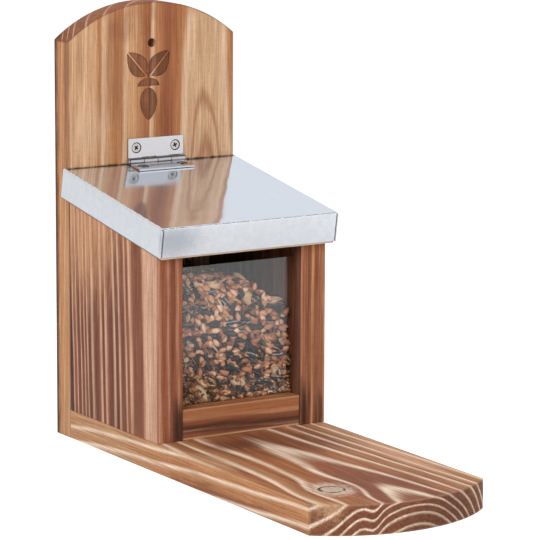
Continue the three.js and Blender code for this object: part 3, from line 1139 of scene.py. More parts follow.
@dataclass
class Carcass:
    """The flamed boards: back panel, base board, two side panels and the front rail.

    Args:
        thickness: Thickness of the boards.
        half_width: Half the width of the back panel and the base board.
        depth: From the back panel to the side panels' front edges.
        side_rear: Level of the side panels' upper rear corner.
        back_height: Height of the back panel at the top of its arch.
        reach: From the back panel's front to the tip of the ledge.
        arch_rise: Rise of both arches.
        rail_height: Height of the front rail.
        rail_setback: From the side panels' front edges to the rail.
        rail_floor: Wood under the rail's groove.
        round_edge: Rounding of the boards' edges.
        pane_slot: Front and rear of the groove for the pane.
        groove: Depth of that groove in the side panels.
        hole: Width of the hanging hole, and its distance from the top of the arch.
    """

    thickness: float = 18.0
    half_width: float = 60.0
    depth: float = 110.0
    side_rear: float = 151.2
    back_height: float = 273.5
    reach: float = 302.0
    arch_rise: float = 22.0
    rail_height: float = 19.0
    rail_setback: float = 0.7
    rail_floor: float = 5.3
    round_edge: float = 0.55
    pane_slot: Pair = (-102.3, -99.7)
    groove: float = 4.0
    hole: Pair = (5.5, 25.7)

    @property
    def arch_radius(self) -> float:
        """Radius of both arches."""
        return (self.half_width**2 + self.arch_rise**2) / (2 * self.arch_rise)

    def arched(self, name: str, length: float, upright: bool) -> Workpiece:
        """Returns a board with an arched end, upright or lying with its arch to the front."""
        def at(along: float, through: float = 0.0) -> Vector:
            """Returns a point on the board's middle line."""
            return Vector((0.0, through, along) if upright else (0.0, -along, through))

        board = Workpiece.disc(name, at(length - self.arch_radius, self.thickness / 2),
                               self.arch_radius, self.thickness, "Y" if upright else "Z", 200)
        for side, _ in SIDES:
            board.cut_off((side * self.half_width, 0.0, 0.0), (side, 0.0, 0.0))
        shoulder = length - self.arch_rise
        board.cut_off(at(shoulder), at(-1.0))
        board.stretch(lambda face: face.normal.dot(at(-1.0)) > 0.9, at(-shoulder))
        return board.bevel(self.round_edge)

    def back_panel(self) -> Workpiece:
        """Returns the back panel with its arch, hanging hole and engraving."""
        panel = self.arched("back_panel_wood", self.back_height, upright=True)
        radius, level = self.hole[0] / 2, self.back_height - self.hole[1]
        place = (0.0, self.thickness / 2, level)
        panel.combine(Workpiece.disc("hole", place, radius, self.thickness + 2, "Y", 40))

        def on_rim(edge: bmesh.types.BMEdge) -> bool:
            """Says whether both ends of the edge are on one rim of the hole."""
            a, b = (vert.co for vert in edge.verts)
            return abs(a.y - b.y) < TINY and all(
                abs(math.hypot(p.x, p.z - level * MM) - radius * MM) < 2e-5 for p in (a, b))

        panel.bevel(0.35, 2, on_rim)
        for cutter in Engraving().cutters() + Fixings().countersinks("Y"):
            panel.combine(cutter)
        return panel

    def base_board(self) -> Workpiece:
        """Returns the base board with its arched tip."""
        board = self.arched("base_board_wood", self.reach, upright=False)
        for cutter in Fixings().countersinks("-Z"):
            board.combine(cutter)
        return board

    def slot(self, reach: float, floor: float, top: float) -> Workpiece:
        """Returns the cutter of the pane's groove."""
        return Workpiece.block("slot", (-reach, self.pane_slot[0], floor),
                               (reach, self.pane_slot[1], top))

    def side_panel(self, side: int, hand: str) -> Workpiece:
        """Returns the left (-1) or the right (1) side panel with its groove."""
        inner = self.half_width - self.thickness
        left, right = sorted((side * self.half_width, side * inner))
        panel = Workpiece.block(f"side_panel_{hand}_wood", (left, -self.depth, self.thickness),
                                (right, 0.0, self.side_rear))
        panel.cut_off((0.0, 0.0, self.side_rear), (0.0, -math.sin(SLOPE), math.cos(SLOPE)))
        panel.bevel(self.round_edge)
        return panel.combine(self.slot(inner + self.groove, self.thickness - 1, self.side_rear))

    def rail(self) -> Workpiece:
        """Returns the front rail with its groove."""
        inner = self.half_width - self.thickness
        front = self.rail_setback - self.depth
        top = self.thickness + self.rail_height
        strip = Workpiece.block("front_rail_wood", (-inner, front, self.thickness),
                                (inner, front + self.thickness, top))
        strip.bevel(self.round_edge)
        return strip.combine(self.slot(inner + 1, self.thickness + self.rail_floor, top + 1))

    def woods(self) -> list[FlamedWood]:
        """Returns each board's own wood."""
        wide, thick, deep = self.half_width, self.thickness, self.depth
        return [
            FlamedWood(
                "back_panel_wood", Lay.UPRIGHT_FRONT, (-wide, 0, 0), (wide, thick, 999),
                pith=(40, -55), years=(60.1, 71.1, 84.5, 96.5, 107.3, 115, 118.5, 121.8, 125.5),
                tones=((0, HONEY), (56, STRAW), (59.6, STRAW), (60.8, TAN), (63, CARAMEL),
                    (66.2, RUSSET), (67.2, CARAMEL), (69.6, TAN), (71.3, HONEY), (72.2, RUSSET),
                    (75, CARAMEL), (79, HONEY), (83.5, SAND), (86, TAN), (90.5, TAN),
                    (93.5, HONEY), (96, SAND), (98.5, TAN), (102, SAND), (115, SAND), (117, HONEY),
                    (123, TAN)), taper=0.0145, wobble=0.4, line_share=0.9, line_width=0.13,
                line_tail=0.1, grain=0.6, veins=(56.3, 57.4, 58.2, 66.5),
                faces=(Face(1, thick, -0.5, CARAMEL, 0.5), Face(0, -wide, 0.5, GLOW, 0.6)),
                patches=(Scorch((-60, 18.4, 140), (8, 6.2, 900), DARK, 1),
                    # Painted shadow: a dark line along the gap where the lid meets the panel.
                    Scorch((0, 0, 171.2), (220, 2, 1.9), CHAR, 1),
                    # Painted shade on the panel inside the box, above the feed.
                    Scorch((0, 0, 100), (46, 3, 60), DARK, 0.9),
                    Scorch((-27, 0, 235), (9, 30, 50), BROWN, 0.35),
                    Scorch((-22, 0, 258), (12, 30, 12), BROWN, 0.4),
                    Scorch((-45, 0, 195), (16, 30, 26), CREAM, 0.45),
                    Scorch((-8, 0, 205), (14, 30, 60), GLOW, 0.25),
                    Scorch((57, 0, 160), (14, 9, 18), RUSSET, 0.6),
                    # Painted shade along the corner between the panel's left face and its front
                    # face.
                    Scorch((-60, 3, 225), (4, 3.5, 80), BROWN, 0.7),
                    Scorch((0, 9, 268), (75, 20, 8), CARAMEL, 0.4)), edge_share=0.5,
                end_share=0.8, arch=(self.back_height - self.arch_radius, self.arch_radius),
                engraved=0.12, end=RUST),
            FlamedWood(
                "base_board_wood", Lay.LYING, (-wide, 0, -999), (wide, thick, 0), pith=(-2, -31),
                years=(24, 31, 35.4, 40, 44.5, 50.5, 57, 62, 69, 76, 83),
                tones=((0, CARAMEL), (36, CARAMEL), (42, RUSSET), (46, CARAMEL), (50, TAN),
                    (52, CARAMEL), (56.5, HONEY), (58, CARAMEL), (62, HONEY), (64, TAN),
                    (70, SAND), (84, HONEY)), taper=0.028, wobble=0.55, line=PALE, line_share=1,
                line_width=0.28, line_tail=0.2, line_sharp=1.3, grain=0.7,
                faces=(Face(1, thick, -0.6, RUSSET, 0.22), Face(1, 0, 0.6, BROWN, 0.5),
                    Face(0, -wide, 0.5, GLOW, 0.6)),
                patches=(Scorch((10, thick, -145), (50, 8, 45), UMBER, 0.6, over=False),
                    Scorch((2, thick, -265), (40, 8, 50), BROWN, 0.6, over=False),
                    Scorch((-22, thick, -134), (20, 3, 18), DARK, 0.55),
                    Scorch((-20, thick, -258.5), (1.7, 3, 1.5), CHAR, 1),
                    Scorch((-41, thick, -256), (1.4, 3, 1.2), CHAR, 0.8),
                    Scorch((-60, 0, -205), (5, 8, 110), BROWN, 0.75, over=False),
                    Scorch((-60, 8, -40), (7, 22, 75), STRAW, 0.5, over=False),
                    Scorch((-54, thick, -165), (12, 4, 30), STRAW, 0.5),
                    Scorch((50, thick, -215), (10, 5, 60), PEACH, 0.4),
                    Scorch((-52, thick, -290), (12, 12, 12), STRAW, 0.6),
                    Scorch((20, 4, -303), (46, 22, 25), DARK, 0.35)), knot=Knot(-30, -257, 8.2),
                edge=STRAW, edge_share=0.3, end_share=0.75,
                swells=(Swell((-30, 0, -257), (14, 99, 24), 0, 8),
                    Swell((-27.5, 9, -302), (4.6, 30, 24), 3.4),
                    Swell((-38, 9, -302), (9, 30, 24), -2.4),
                    Swell((0, 0, -320), (40, 99, 80), -2.6),
                    Swell((-75, 0, -200), (26, 99, 400), -14),
                    Swell((-36, 0, -110), (14, 99, 60), -3)),
                arch=(self.reach - self.arch_radius, self.arch_radius)),
            FlamedWood(
                "side_panel_left_wood", Lay.UPRIGHT_SIDE, (-deep, -wide, thick),
                (0, thick - wide, 999), pith=(-126, -10),
                years=(38, 44, 50, 57, 68.6, 71.8, 78.1, 82.8, 92.2, 96.4, 106.9, 112.3, 115.4,
                    119.6, 124.5, 128.6),
                tones=((0, RUSSET), (49, RUSSET), (51, PEACH), (56.8, PEACH), (58.6, RUSSET),
                    (62, BROWN), (69, RUSSET), (73, BROWN), (80, UMBER), (87, UMBER), (90, RUSSET),
                    (93.5, UMBER), (98, RUSSET), (101, UMBER), (109, UMBER), (114, BROWN),
                    (118, BROWN), (121.8, UMBER), (127, RUSSET), (130, DARK)), drift=0.035,
                wobble=0.4, line=PEACH, line_share=1, line_width=0.32, line_tail=0.24,
                faces=(Face(0, -deep, 0.6, RUSSET, 0.58, over=True),
                    # Painted shade: the inner face, inside the box, is darkened.
                    Face(1, thick - wide, -0.5, DARK, 0.8, over=True)),
                patches=(Scorch((-110, -44, 24), (6, 9, 26), CHAR, 0.9),
                    Scorch((0.3, -60, 85), (2.2, 9, 900), DARK, 1),
                    Scorch((-14, -60, 155), (72, 15, 75), AMBER, 0.9, over=False),
                    Scorch((-86, -60, 95), (8, 15, 50), BROWN, 0.4),
                    Scorch((-110, -49, 90), (4, 2.6, 130), UMBER, 0.6)), edge_share=0.25),
            FlamedWood(
                "side_panel_right_wood", Lay.UPRIGHT_SIDE, (-deep, wide - thick, thick),
                (0, wide, 999), pith=(-96, 92),
                years=(32.5, 36.5, 40, 44.5, 48, 52, 57, 62, 69, 75, 80, 88, 93, 99),
                tones=((0, RUSSET), (38, CARAMEL), (42, UMBER), (44, RUSSET), (47, DARK),
                    (49, RUSSET), (62, CARAMEL), (75, UMBER), (92, TAN)), drift=0.02, wobble=0.6,
                line=PEACH, line_width=0.4,
                faces=(Face(0, -deep, 0.6, CARAMEL, 0.45, over=True),
                    # Painted shade: the inner face, inside the box, is darkened.
                    Face(1, wide - thick, 0.5, DARK, 0.85, over=True)),
                patches=(Scorch((-110, 45, 26), (6, 5, 26), CHAR, 0.85),
                    Scorch((-110, 47, 95), (4, 1.8, 130), UMBER, 0.7),
                    Scorch((-110, 55, 70), (4, 1.6, 90), UMBER, 0.6),
                    Scorch((-110, 51, 120), (4, 1.6, 90), TAN, 0.6),
                    Scorch((-110, 56, 22), (6, 5, 18), CHAR, 0.6)), edge_share=0.35),
            FlamedWood(
                "front_rail_wood", Lay.CROSSWISE, (thick, -deep, -wide), (37, -90, wide),
                pith=(60, -84), years=(30, 41, 46.5, 52, 58),
                tones=((0, TAN), (34, CARAMEL), (40, CARAMEL), (43, BROWN), (45, DARK),
                    (47.5, BROWN), (50, RUSSET)), drift=-0.02, wobble=1.5, line=STRAW,
                line_share=0.35, grain=0.5,
                patches=(Scorch((18.3, -109.3, 0), (1.5, 3, 200), STRAW, 0.7),
                    Scorch((31.5, -109.3, -5), (4, 4, 70), CARAMEL, 0.5),
                    Scorch((22.6, -109.3, 4), (2.6, 4, 60), DARK, 0.6)), edge=STRAW,
                edge_share=0.7),
        ]

    def build(self) -> None:
        """Builds and dresses all five boards."""
        boards = [self.back_panel(), self.base_board(),
                  *(self.side_panel(side, hand) for side, hand in SIDES), self.rail()]
        for board, wood in zip(boards, self.woods()):
            board.place(IN_ROW).finish(wood.material(), Body.BOX, Slot.FLAMED,
                                       wood.name.removesuffix("_wood"))


@dataclass
class Engraving:
    """A generic acorn between two oak leaves, cut shallowly into the back panel.

    Args:
        middle: Where its middle lies on the panel, x and z.
        depth: How deep it is cut.
        leaf: Length and half-width of a leaf.
        rib: Width of the wood left standing along a leaf.
    """

    middle: Pair = (-2.5, 222.0)
    depth: float = 0.7
    leaf: Pair = (20.0, 6.8)
    rib: float = 0.9

    def cutter(self, outline: Sequence[Pair], at: Pair, turn: float = 0.0) -> Workpiece:
        """Returns a closed outline as a solid that stands in the panel's face.

        Args:
            outline: Points in x and z, anticlockwise.
            at: Where its own zero goes, from the engraving's middle.
            turn: Angle by which it is turned, in degrees.

        Returns:
            The cutter.
        """
        piece = Workpiece.add("engraving_cutter", "circle", vertices=len(outline), radius=0.01,
                              fill_type="NGON", rotation=(math.pi / 2, 0.0, 0.0))
        cos, sin = math.cos(math.radians(turn)), math.sin(math.radians(turn))
        left, foot = self.middle[0] + at[0], self.middle[1] + at[1]
        for vert, (x, z) in zip(piece.obj.data.vertices, outline):
            vert.co = Vector((left + x * cos - z * sin, self.depth,
                              foot + x * sin + z * cos)) * MM
        piece.stretch(anything, (0.0, -self.depth - 1.0, 0.0))
        with piece.editing(Part.FACE):
            bpy.ops.mesh.normals_make_consistent(inside=False)
        return piece

    def half_leaf(self, side: int) -> list[Pair]:
        """Returns one lobed half of a leaf along x, on the upper (1) or the lower (-1) side."""
        length, width = self.leaf
        edge = []
        for t in (i / 64 for i in range(1, 64)):
            body = math.sin(math.pi * t**0.8) ** 0.85
            edge.append((length * t, side * (self.rib / 2 + (width - self.rib / 2) * body)))
        return [(0.0, side * self.rib / 2), *edge, (length, side * self.rib / 2)]

    def oval(self, wide: float, high: float, point: float) -> list[Pair]:
        """Returns an upright oval that is drawn out to a point at its foot."""
        turns = [2 * math.pi * i / 48 for i in range(48)]
        return [(wide * math.cos(t), high * math.sin(t) - point * max(0.0, -math.sin(t)) ** 6)
                for t in turns]

    def cap(self) -> list[Pair]:
        """Returns the acorn's cup, a low dome with a flat foot."""
        turns = [math.pi * i / 24 for i in range(25)]
        return [(8.0 * math.cos(t), 5.2 * math.sin(t)) for t in turns]

    def cutters(self) -> list[Workpiece]:
        """Returns everything that is cut out."""
        stalk = [(-0.7, 0.0), (0.7, 0.0), (0.5, 4.6), (-0.5, 4.6)]
        pieces = [self.cutter(self.oval(6.3, 9.0, 2.5), (0.0, -11.5)),
                  self.cutter(self.cap(), (0.0, -1.4)), self.cutter(stalk, (0.0, 4.3))]
        for turn, x in ((48.0, 1.6), (132.0, -1.6)):
            pieces += [self.cutter(self.half_leaf(side), (x, 5.4), turn) for side, _ in SIDES]
        return pieces


@dataclass
class Lid:
    """The lid: a raw board under a folded galvanised sheet.

    Args:
        half_width: Half the lid's width over the sheet.
        overhang: In front of the box, along the slope.
        board: Thickness of the board.
        sheet: Thickness of the sheet.
        top: Level of the sheet's top in the lid's own frame.
        skirt: Height of the skirts.
        fold: Outer radius of a fold.
        tail: How far the side skirts run past the hinge.
        seam: Open gap at each end of the front skirt.
        gap: Between sheet and board.
        corner: Rounding of the front skirt's lower corners.
        notch: Half the width of the notch round the back panel.
        clearance: Between lid and back panel.
    """

    half_width: float = 62.5
    overhang: float = 11.5
    board: float = 19.0
    sheet: float = 0.7
    top: float = -2.25
    skirt: float = 18.7
    fold: float = 1.2
    tail: float = 4.1
    seam: float = 0.8
    gap: float = 0.3
    corner: float = 1.5
    notch: float = 60.9
    clearance: float = 0.5

    @property
    def front(self) -> float:
        """Place of the front skirt's face along the slope."""
        return -(Carcass.depth + HINGE.y) / math.cos(SLOPE) - self.overhang

    def rear_at(self, level: float) -> float:
        """Returns how far up the slope a piece may reach at a level and clear the panel."""
        return (level * math.sin(SLOPE) - self.clearance - HINGE.y) / math.cos(SLOPE)

    def core(self) -> Workpiece:
        """Returns the board."""
        reach, top = self.half_width - self.sheet - self.gap, self.top - self.sheet - self.gap
        floor = top - self.board
        low = (-reach, self.front + self.sheet + self.gap, floor)
        board = Workpiece.block("lid_board_wood", low, (reach, self.rear_at(floor), top))
        return board.bevel(0.5)

    def cladding(self) -> Workpiece:
        """Returns the folded sheet."""
        side, hem, under = self.half_width, self.top - self.skirt, self.top - self.sheet
        inside, bend = side - self.sheet, self.front + self.fold
        reach, inner_fold = inside - self.seam, self.fold - self.sheet

        def fold_at(level: float, axis: int, before: float = math.inf) -> Test:
            """Returns a test for the edges along an axis at a level, in front of a place."""
            return lambda edge: (min(v.co.z for v in edge.verts) > level * MM - TINY
                                 and runs(edge, axis) and edge.verts[0].co.y < before * MM)

        sheet = Workpiece.block("lid_sheet_metal", (-side, bend, hem), (side, self.tail, self.top))
        sheet.bevel(self.fold, 5, fold_at(self.top, 1))
        hollow = Workpiece.block("hollow", (-inside, bend - 1, hem - 1),
                                 (inside, self.tail + 1, under))
        sheet.combine(hollow.bevel(inner_fold, 4, fold_at(under, 1)))
        front = Workpiece.block("front", (-reach, self.front, hem), (reach, bend + 0.2, self.top))
        front.bevel(self.fold, 5, fold_at(self.top, 0, bend - 0.5))
        front.bevel(self.corner, 4, lambda edge: runs(edge, 1)
                    and max(v.co.z for v in edge.verts) < hem * MM + TINY)
        hollow = Workpiece.block("hollow", (-reach - 1, self.front + self.sheet, hem - 1),
                                 (reach + 1, bend + 2, under))
        front.combine(hollow.bevel(inner_fold, 4, fold_at(under, 0, bend)))
        sheet.combine(front, "UNION")
        for a, b in ((-side, -inside), (inside, side)):
            high = (b, bend + 0.2, self.top - self.fold)
            sheet.combine(Workpiece.block("flap", (a, self.front, hem), high), "UNION")
        notch = Workpiece.block("notch", (-self.notch, self.rear_at(under), under - 1),
                                (self.notch, self.tail + 1, self.top + 1))
        return sheet.combine(notch)

    def build(self) -> None:
        """Builds and dresses the lid."""
        zinc = GalvanisedSheet(self.top, self.front, self.half_width, self.skirt).material()
        self.core().place(IN_LID).finish(raw_softwood(), Body.LID, Slot.RAW, "lid_board")
        self.cladding().place(IN_LID).finish(zinc, Body.LID, Slot.SHEET, "lid_sheet", smooth=25.0)


@dataclass
class Screw:
    """A countersunk screw with a cross recess, its face at zero and its shank downwards.

    Args:
        head: Diameter of the head.
        shank: Diameter of the shank.
        length: Whole length.
        rim: Straight edge of the head.
        recess: Half-length and width of the slots, and their depth.
    """

    head: float
    shank: float
    length: float
    rim: float = 0.35
    recess: Triple = (2.0, 1.15, 0.7)

    POINT = 0.12  # share of the width that is left at the tip
    NARROW = 0.62  # share of a slot's width that is left at its floor
    SOCKET = (0.6, 1.1)  # radii of the round hollow where the slots cross
    ROUNDING = 0.32  # of the head's edge

    def model(self, name: str) -> Workpiece:
        """Returns the screw, modelled at zero and pointing down."""
        radius, core = self.head / 2, self.shank / 2
        drop = radius - core
        screw = Workpiece.disc(name, (0.0, 0.0, -self.rim / 2), radius, self.rim, "Z")
        straight = self.length - self.rim - drop - self.shank
        for share, fall in ((core / radius, drop), (1.0, straight), (self.POINT, self.shank)):
            low = min(v.co.z for v in screw.obj.data.vertices) + TINY
            screw.stretch(lambda face, z=low: face.calc_center_median().z < z
                          and face.normal.z < -0.9, (0.0, 0.0, -fall), share)
        screw.bevel(self.ROUNDING, 3, lambda edge: min(v.co.z for v in edge.verts) > -0.01 * MM)
        half, wide, deep = self.recess
        for x, y in ((half, wide / 2), (wide / 2, half)):
            slot = Workpiece.block("slot", (-x, -y, -deep), (x, y, 1.0))
            slot.scale(Part.FACE, lambda face: face.normal.z < -0.9,
                       (self.NARROW, self.NARROW, 1.0))
            screw.combine(slot)
        screw.combine(Workpiece.cone("socket", ZERO, self.SOCKET, deep * 2, 8))
        reach = (half + 0.2) * MM
        screw.bevel(0.08, 2, lambda edge: edge.calc_face_angle(0) > 0.6 and all(
            v.co.z > -0.2 * MM and v.co.xy.length < reach for v in edge.verts))

        def in_recess(face: bmesh.types.BMFace) -> bool:
            """Says whether a face lies in the recess."""
            at = face.calc_center_median()
            return at.xy.length < reach and -(deep + 0.1) * MM < at.z < -0.1 * MM

        # The recess takes the near-black painted shade.
        return screw.line_with(grime(), in_recess)


@dataclass
class Hinge:
    """The butt hinge: two stamped leaves, a pin and four screws.

    Args:
        length: Length along the pin.
        offset: To the right of the middle.
        leaf: Thickness of a leaf.
        reach: From the axis to a leaf's far edge.
        knuckle: Radius of the knuckles.
        gap: Between two knuckles.
        relief: Between a knuckle and the other leaf.
        pin: Radius of the pin.
        head: Radius and thickness of the pin's heads.
        spacing: Between a leaf's screws.
        screw_reach: From the axis to the screws.
        screw: Their screw.
    """

    length: float = 40.0
    offset: float = 2.2
    leaf: float = 1.0
    reach: float = 14.2
    knuckle: float = 1.95
    gap: float = 0.3
    relief: float = 0.35
    pin: float = 0.95
    head: Pair = (1.6, 0.7)
    spacing: float = 28.2
    screw_reach: float = 8.3
    screw: Screw = field(default_factory=lambda: Screw(6.2, 3.0, 14.0))

    BORE_PLAY = 0.15  # round the pin
    SINK_PLAY = 0.38  # round a screw's head
    SUNK = 0.25  # how far a screw's face lies under the leaf's

    def holes(self) -> list[Vector]:
        """Returns the middles of a leaf's screw holes, in its own frame."""
        face = self.leaf - self.knuckle
        return [Vector((s * self.spacing / 2, -self.screw_reach, face)) for s, _ in SIDES]

    def leaf_model(self) -> Workpiece:
        """Returns one leaf, flat and pointing forwards, with every second knuckle."""
        half, floor, pitch = self.length / 2, -self.knuckle, self.length / 4
        plate = Workpiece.block("hinge_leaf", (-half, -self.reach, floor),
                                (half, 0.0, floor + self.leaf))
        plate.bevel(0.5, 3, lambda edge: runs(edge, 2) and edge.verts[0].co.y < -1 * MM)
        for left in (-half, 0.0):
            low = (left - self.gap / 2, -self.knuckle - self.relief, floor - 1)
            high = (left + pitch + self.gap / 2, 1.0, 1.0)
            plate.combine(Workpiece.block("relief", low, high))
        for middle in (-pitch / 2, 1.5 * pitch):
            roll = Workpiece.disc("roll", (middle, 0.0, 0.0), self.knuckle, pitch - self.gap,
                                  sides=40)
            plate.combine(roll.bevel(0.25, 2), "UNION")
        plate.combine(Workpiece.disc("bore", ZERO, self.pin + self.BORE_PLAY, self.length + 2))
        rim = self.screw.head / 2 + self.SINK_PLAY
        for hole in self.holes():
            middle = hole - Vector((0.0, 0.0, self.leaf / 2))
            plate.combine(Workpiece.cone("sink", middle, (rim - self.leaf - 0.2, rim + 0.2),
                                         self.leaf + 0.4, 40))
        plate.bevel(0.14, 2, lambda edge: edge.calc_face_angle(0) > 0.9)
        # The countersink walls round the screw holes take the near-black painted shade.
        near = (self.screw.head / 2 + 0.2) * MM
        return plate.line_with(grime(), lambda face: face.normal.z < 0.95 and any(
            (face.calc_center_median() - hole * MM).length < near for hole in self.holes()))

    def pin_model(self) -> Workpiece:
        """Returns the pin with its two upset heads."""
        end = (self.length + self.gap) / 2
        radius, thick = self.head
        rod = Workpiece.disc("hinge_pin_steel", ZERO, self.pin, 2 * end)
        for side, _ in SIDES:
            cap = Workpiece.disc("cap", (side * (end + thick / 2), 0.0, 0.0), radius, thick)
            outer = side * (end + thick) * MM
            cap.bevel(0.35, 3, lambda edge, x=outer: all(abs(v.co.x - x) < TINY
                                                         for v in edge.verts))
            rod.combine(cap, "UNION")
        return rod

    def build(self) -> None:
        """Builds and dresses the hinge."""
        def plating(name: str, colour: Triple, stain: Triple, smooth: Pair) -> bpy.types.Material:
            """Makes a plating that is polished on the knuckles."""
            return PlatedMetal(name, colour, stain, smooth, self.knuckle + 0.1).material()

        satin = (0.11, 0.17)
        bright = plating("bright_nickel", (182, 178, 174), (104, 96, 88), (0.06, 0.16))
        axis = Matrix.Translation(row(self.offset, HINGE.y, HINGE.z))
        halves = {
            "upper": (Body.BOX, plating("nickel_plate", (192, 190, 193), (183, 181, 185), satin),
                      axis @ Matrix.Rotation(math.pi / 2, 4, "X")
                      @ Matrix.Rotation(math.pi, 4, "Z"), ("right", "left")),
            # The leaves are one nickel plate in two colours: the lower leaf's lighter colour and
            # stain are painted light.
            "lower": (Body.LID,
                      plating("lower_leaf_nickel", (226, 224, 227), (214, 212, 216), satin),
                      IN_LID @ Matrix.Translation((self.offset * MM, 0.0, 0.0)), ("left", "right")),
        }
        leaf, screw = self.leaf_model(), self.screw.model("hinge_screw")
        for half, (body, plate, matrix, hands) in halves.items():
            name = f"hinge_leaf_{half}"
            leaf.copy(f"{name}_steel").place(matrix).finish(plate, body, Slot.NICKEL, name)
            for hole, hand, turn in zip(self.holes(), hands, (0.35, 0.9)):
                name = f"hinge_screw_{half}_{hand}"
                sunk = (hole - Vector((0.0, 0.0, self.SUNK))) * MM
                there = matrix @ Matrix.Translation(sunk) @ Matrix.Rotation(turn, 4, "Z")
                screw.copy(f"{name}_steel").place(there).finish(bright, body, Slot.NICKEL, name)
        leaf.remove()
        screw.remove()
        self.pin_model().place(axis).finish(bright, Body.BOX, Slot.NICKEL, "hinge_pin")


@dataclass
class Fixings:
    """The wood screws that hold the boards together.

    Args:
        screw: The usual screw.
        rail_length: Length of the two under the rail.
        sunk: How far a head's face lies under the wood.
    """

    screw: Screw = field(default_factory=lambda: Screw(7.0, 3.5, 35.0))
    rail_length: float = 29.0
    sunk: float = 0.1

    PLAY = 0.45  # round a screw's head in its countersink
    # Each pair's name, its place right of the middle and its level; which way its heads look
    PAIRS = (("back_screw_low", (51.0, 18.0, 45.0), "Y"),
             ("back_screw_high", (51.0, 18.0, 124.2), "Y"),
             ("back_to_base_screw", (30.0, 18.0, 9.0), "Y"),
             ("base_screw_front", (51.0, -85.0, 0.0), "-Z"),
             ("base_screw_rear", (51.0, -25.0, 0.0), "-Z"),
             ("rail_screw", (25.0, -95.5, 0.0), "-Z"))
    TURNS = {"Y": -math.pi / 2, "-Z": math.pi}  # about x, from upright

    def places(self) -> dict[str, tuple[Vector, str]]:
        """Returns each screw's face and which way it looks."""
        return {f"{name}_{hand}": (Vector((side * x, y, z)), way)
                for side, hand in SIDES for name, (x, y, z), way in self.PAIRS}

    def countersinks(self, side: str) -> list[Workpiece]:
        """Returns the cutters that open a board round the screw heads on one side."""
        wide = self.screw.head / 2 + self.PLAY
        deep = (self.screw.head - self.screw.shank) / 2 + self.screw.rim
        out = Vector((0.0, 1.0, 0.0) if side == "Y" else (0.0, 0.0, -1.0))
        radii, turn = (wide - deep, wide + 0.2), (self.TURNS[side], 0.0, 0.0)
        return [Workpiece.cone("countersink", at - out * (deep - 0.2) / 2, radii, deep + 0.2, 40,
                               turn) for at, way in self.places().values() if way == side]

    def build(self) -> None:
        """Builds and dresses the screws."""
        steel = PlatedMetal("zinc_plated_steel", (196, 190, 172), (128, 122, 108),
                            (0.2, 0.37)).material()
        long = self.screw.model("wood_screw")
        short = Screw(self.screw.head, self.screw.shank, self.rail_length).model("short_screw")
        for i, (name, (at, way)) in enumerate(self.places().items()):
            model = short if name.startswith("rail") else long
            there = (Matrix.Translation(row(*at)) @ Matrix.Rotation(self.TURNS[way], 4, "X")
                     @ Matrix.Rotation(0.7 * i, 4, "Z")
                     @ Matrix.Translation((0.0, 0.0, -self.sunk * MM)))
            model.copy(f"{name}_steel").place(there).finish(steel, Body.BOX, Slot.STEEL, name)
        long.remove()
        short.remove()


@dataclass
class Window:
    """The clear pane in front of the feed."""

    half_width: float = 45.5
    front: float = -102.0
    thickness: float = 2.0
    floor: float = 23.3
    top: float = 123.331

    def build(self) -> None:
        """Builds and dresses the pane."""
        pane = Workpiece.block("window_pane_acrylic", (-self.half_width, self.front, self.floor),
                               (self.half_width, self.front + self.thickness, self.top))
        pane.bevel(0.25, 2).place(IN_ROW)
        pane.finish(clear_acrylic(), Body.BOX, Slot.ACRYLIC, "window_pane")


@dataclass(frozen=True)
class SeedKind:
    """One kind of seed in the feed.

    Args:
        name: The piece's name.
        size: Half its length, width and thickness.
        sides: Faces round it and along it.
        taper: Width left near the narrow end.
        spacing: Distance between neighbours in one layer.
        share: Share of the places that it fills.
        coat: Its skin.
        level: Highest level, if it lies only near the bottom.
    """

    name: str
    size: Triple
    sides: tuple[int, int]
    taper: float
    spacing: float
    share: float
    coat: SeedCoat
    level: float = math.inf

    def model(self) -> Workpiece:
        """Returns one seed, long along x and flat along z, one unit from middle to end."""
        around, along = self.sides
        seed = Workpiece.add(self.name, "uv_sphere", segments=around, ring_count=along,
                             radius=1.0, rotation=(0.0, math.pi / 2, 0.0))
        seed.scale(Part.VERTEX, lambda v: v.co.x > 0.3, (1.0, self.taper, self.taper))
        seed.scale(Part.VERTEX, lambda v: v.co.x < -0.8, (1.0, 0.8, 0.8))
        with seed.editing(Part.VERTEX, lambda v: v.co.z > 0.3 and abs(v.co.y) < 0.2):
            bpy.ops.transform.translate(value=(0.0, 0.0, -0.22))
        return seed


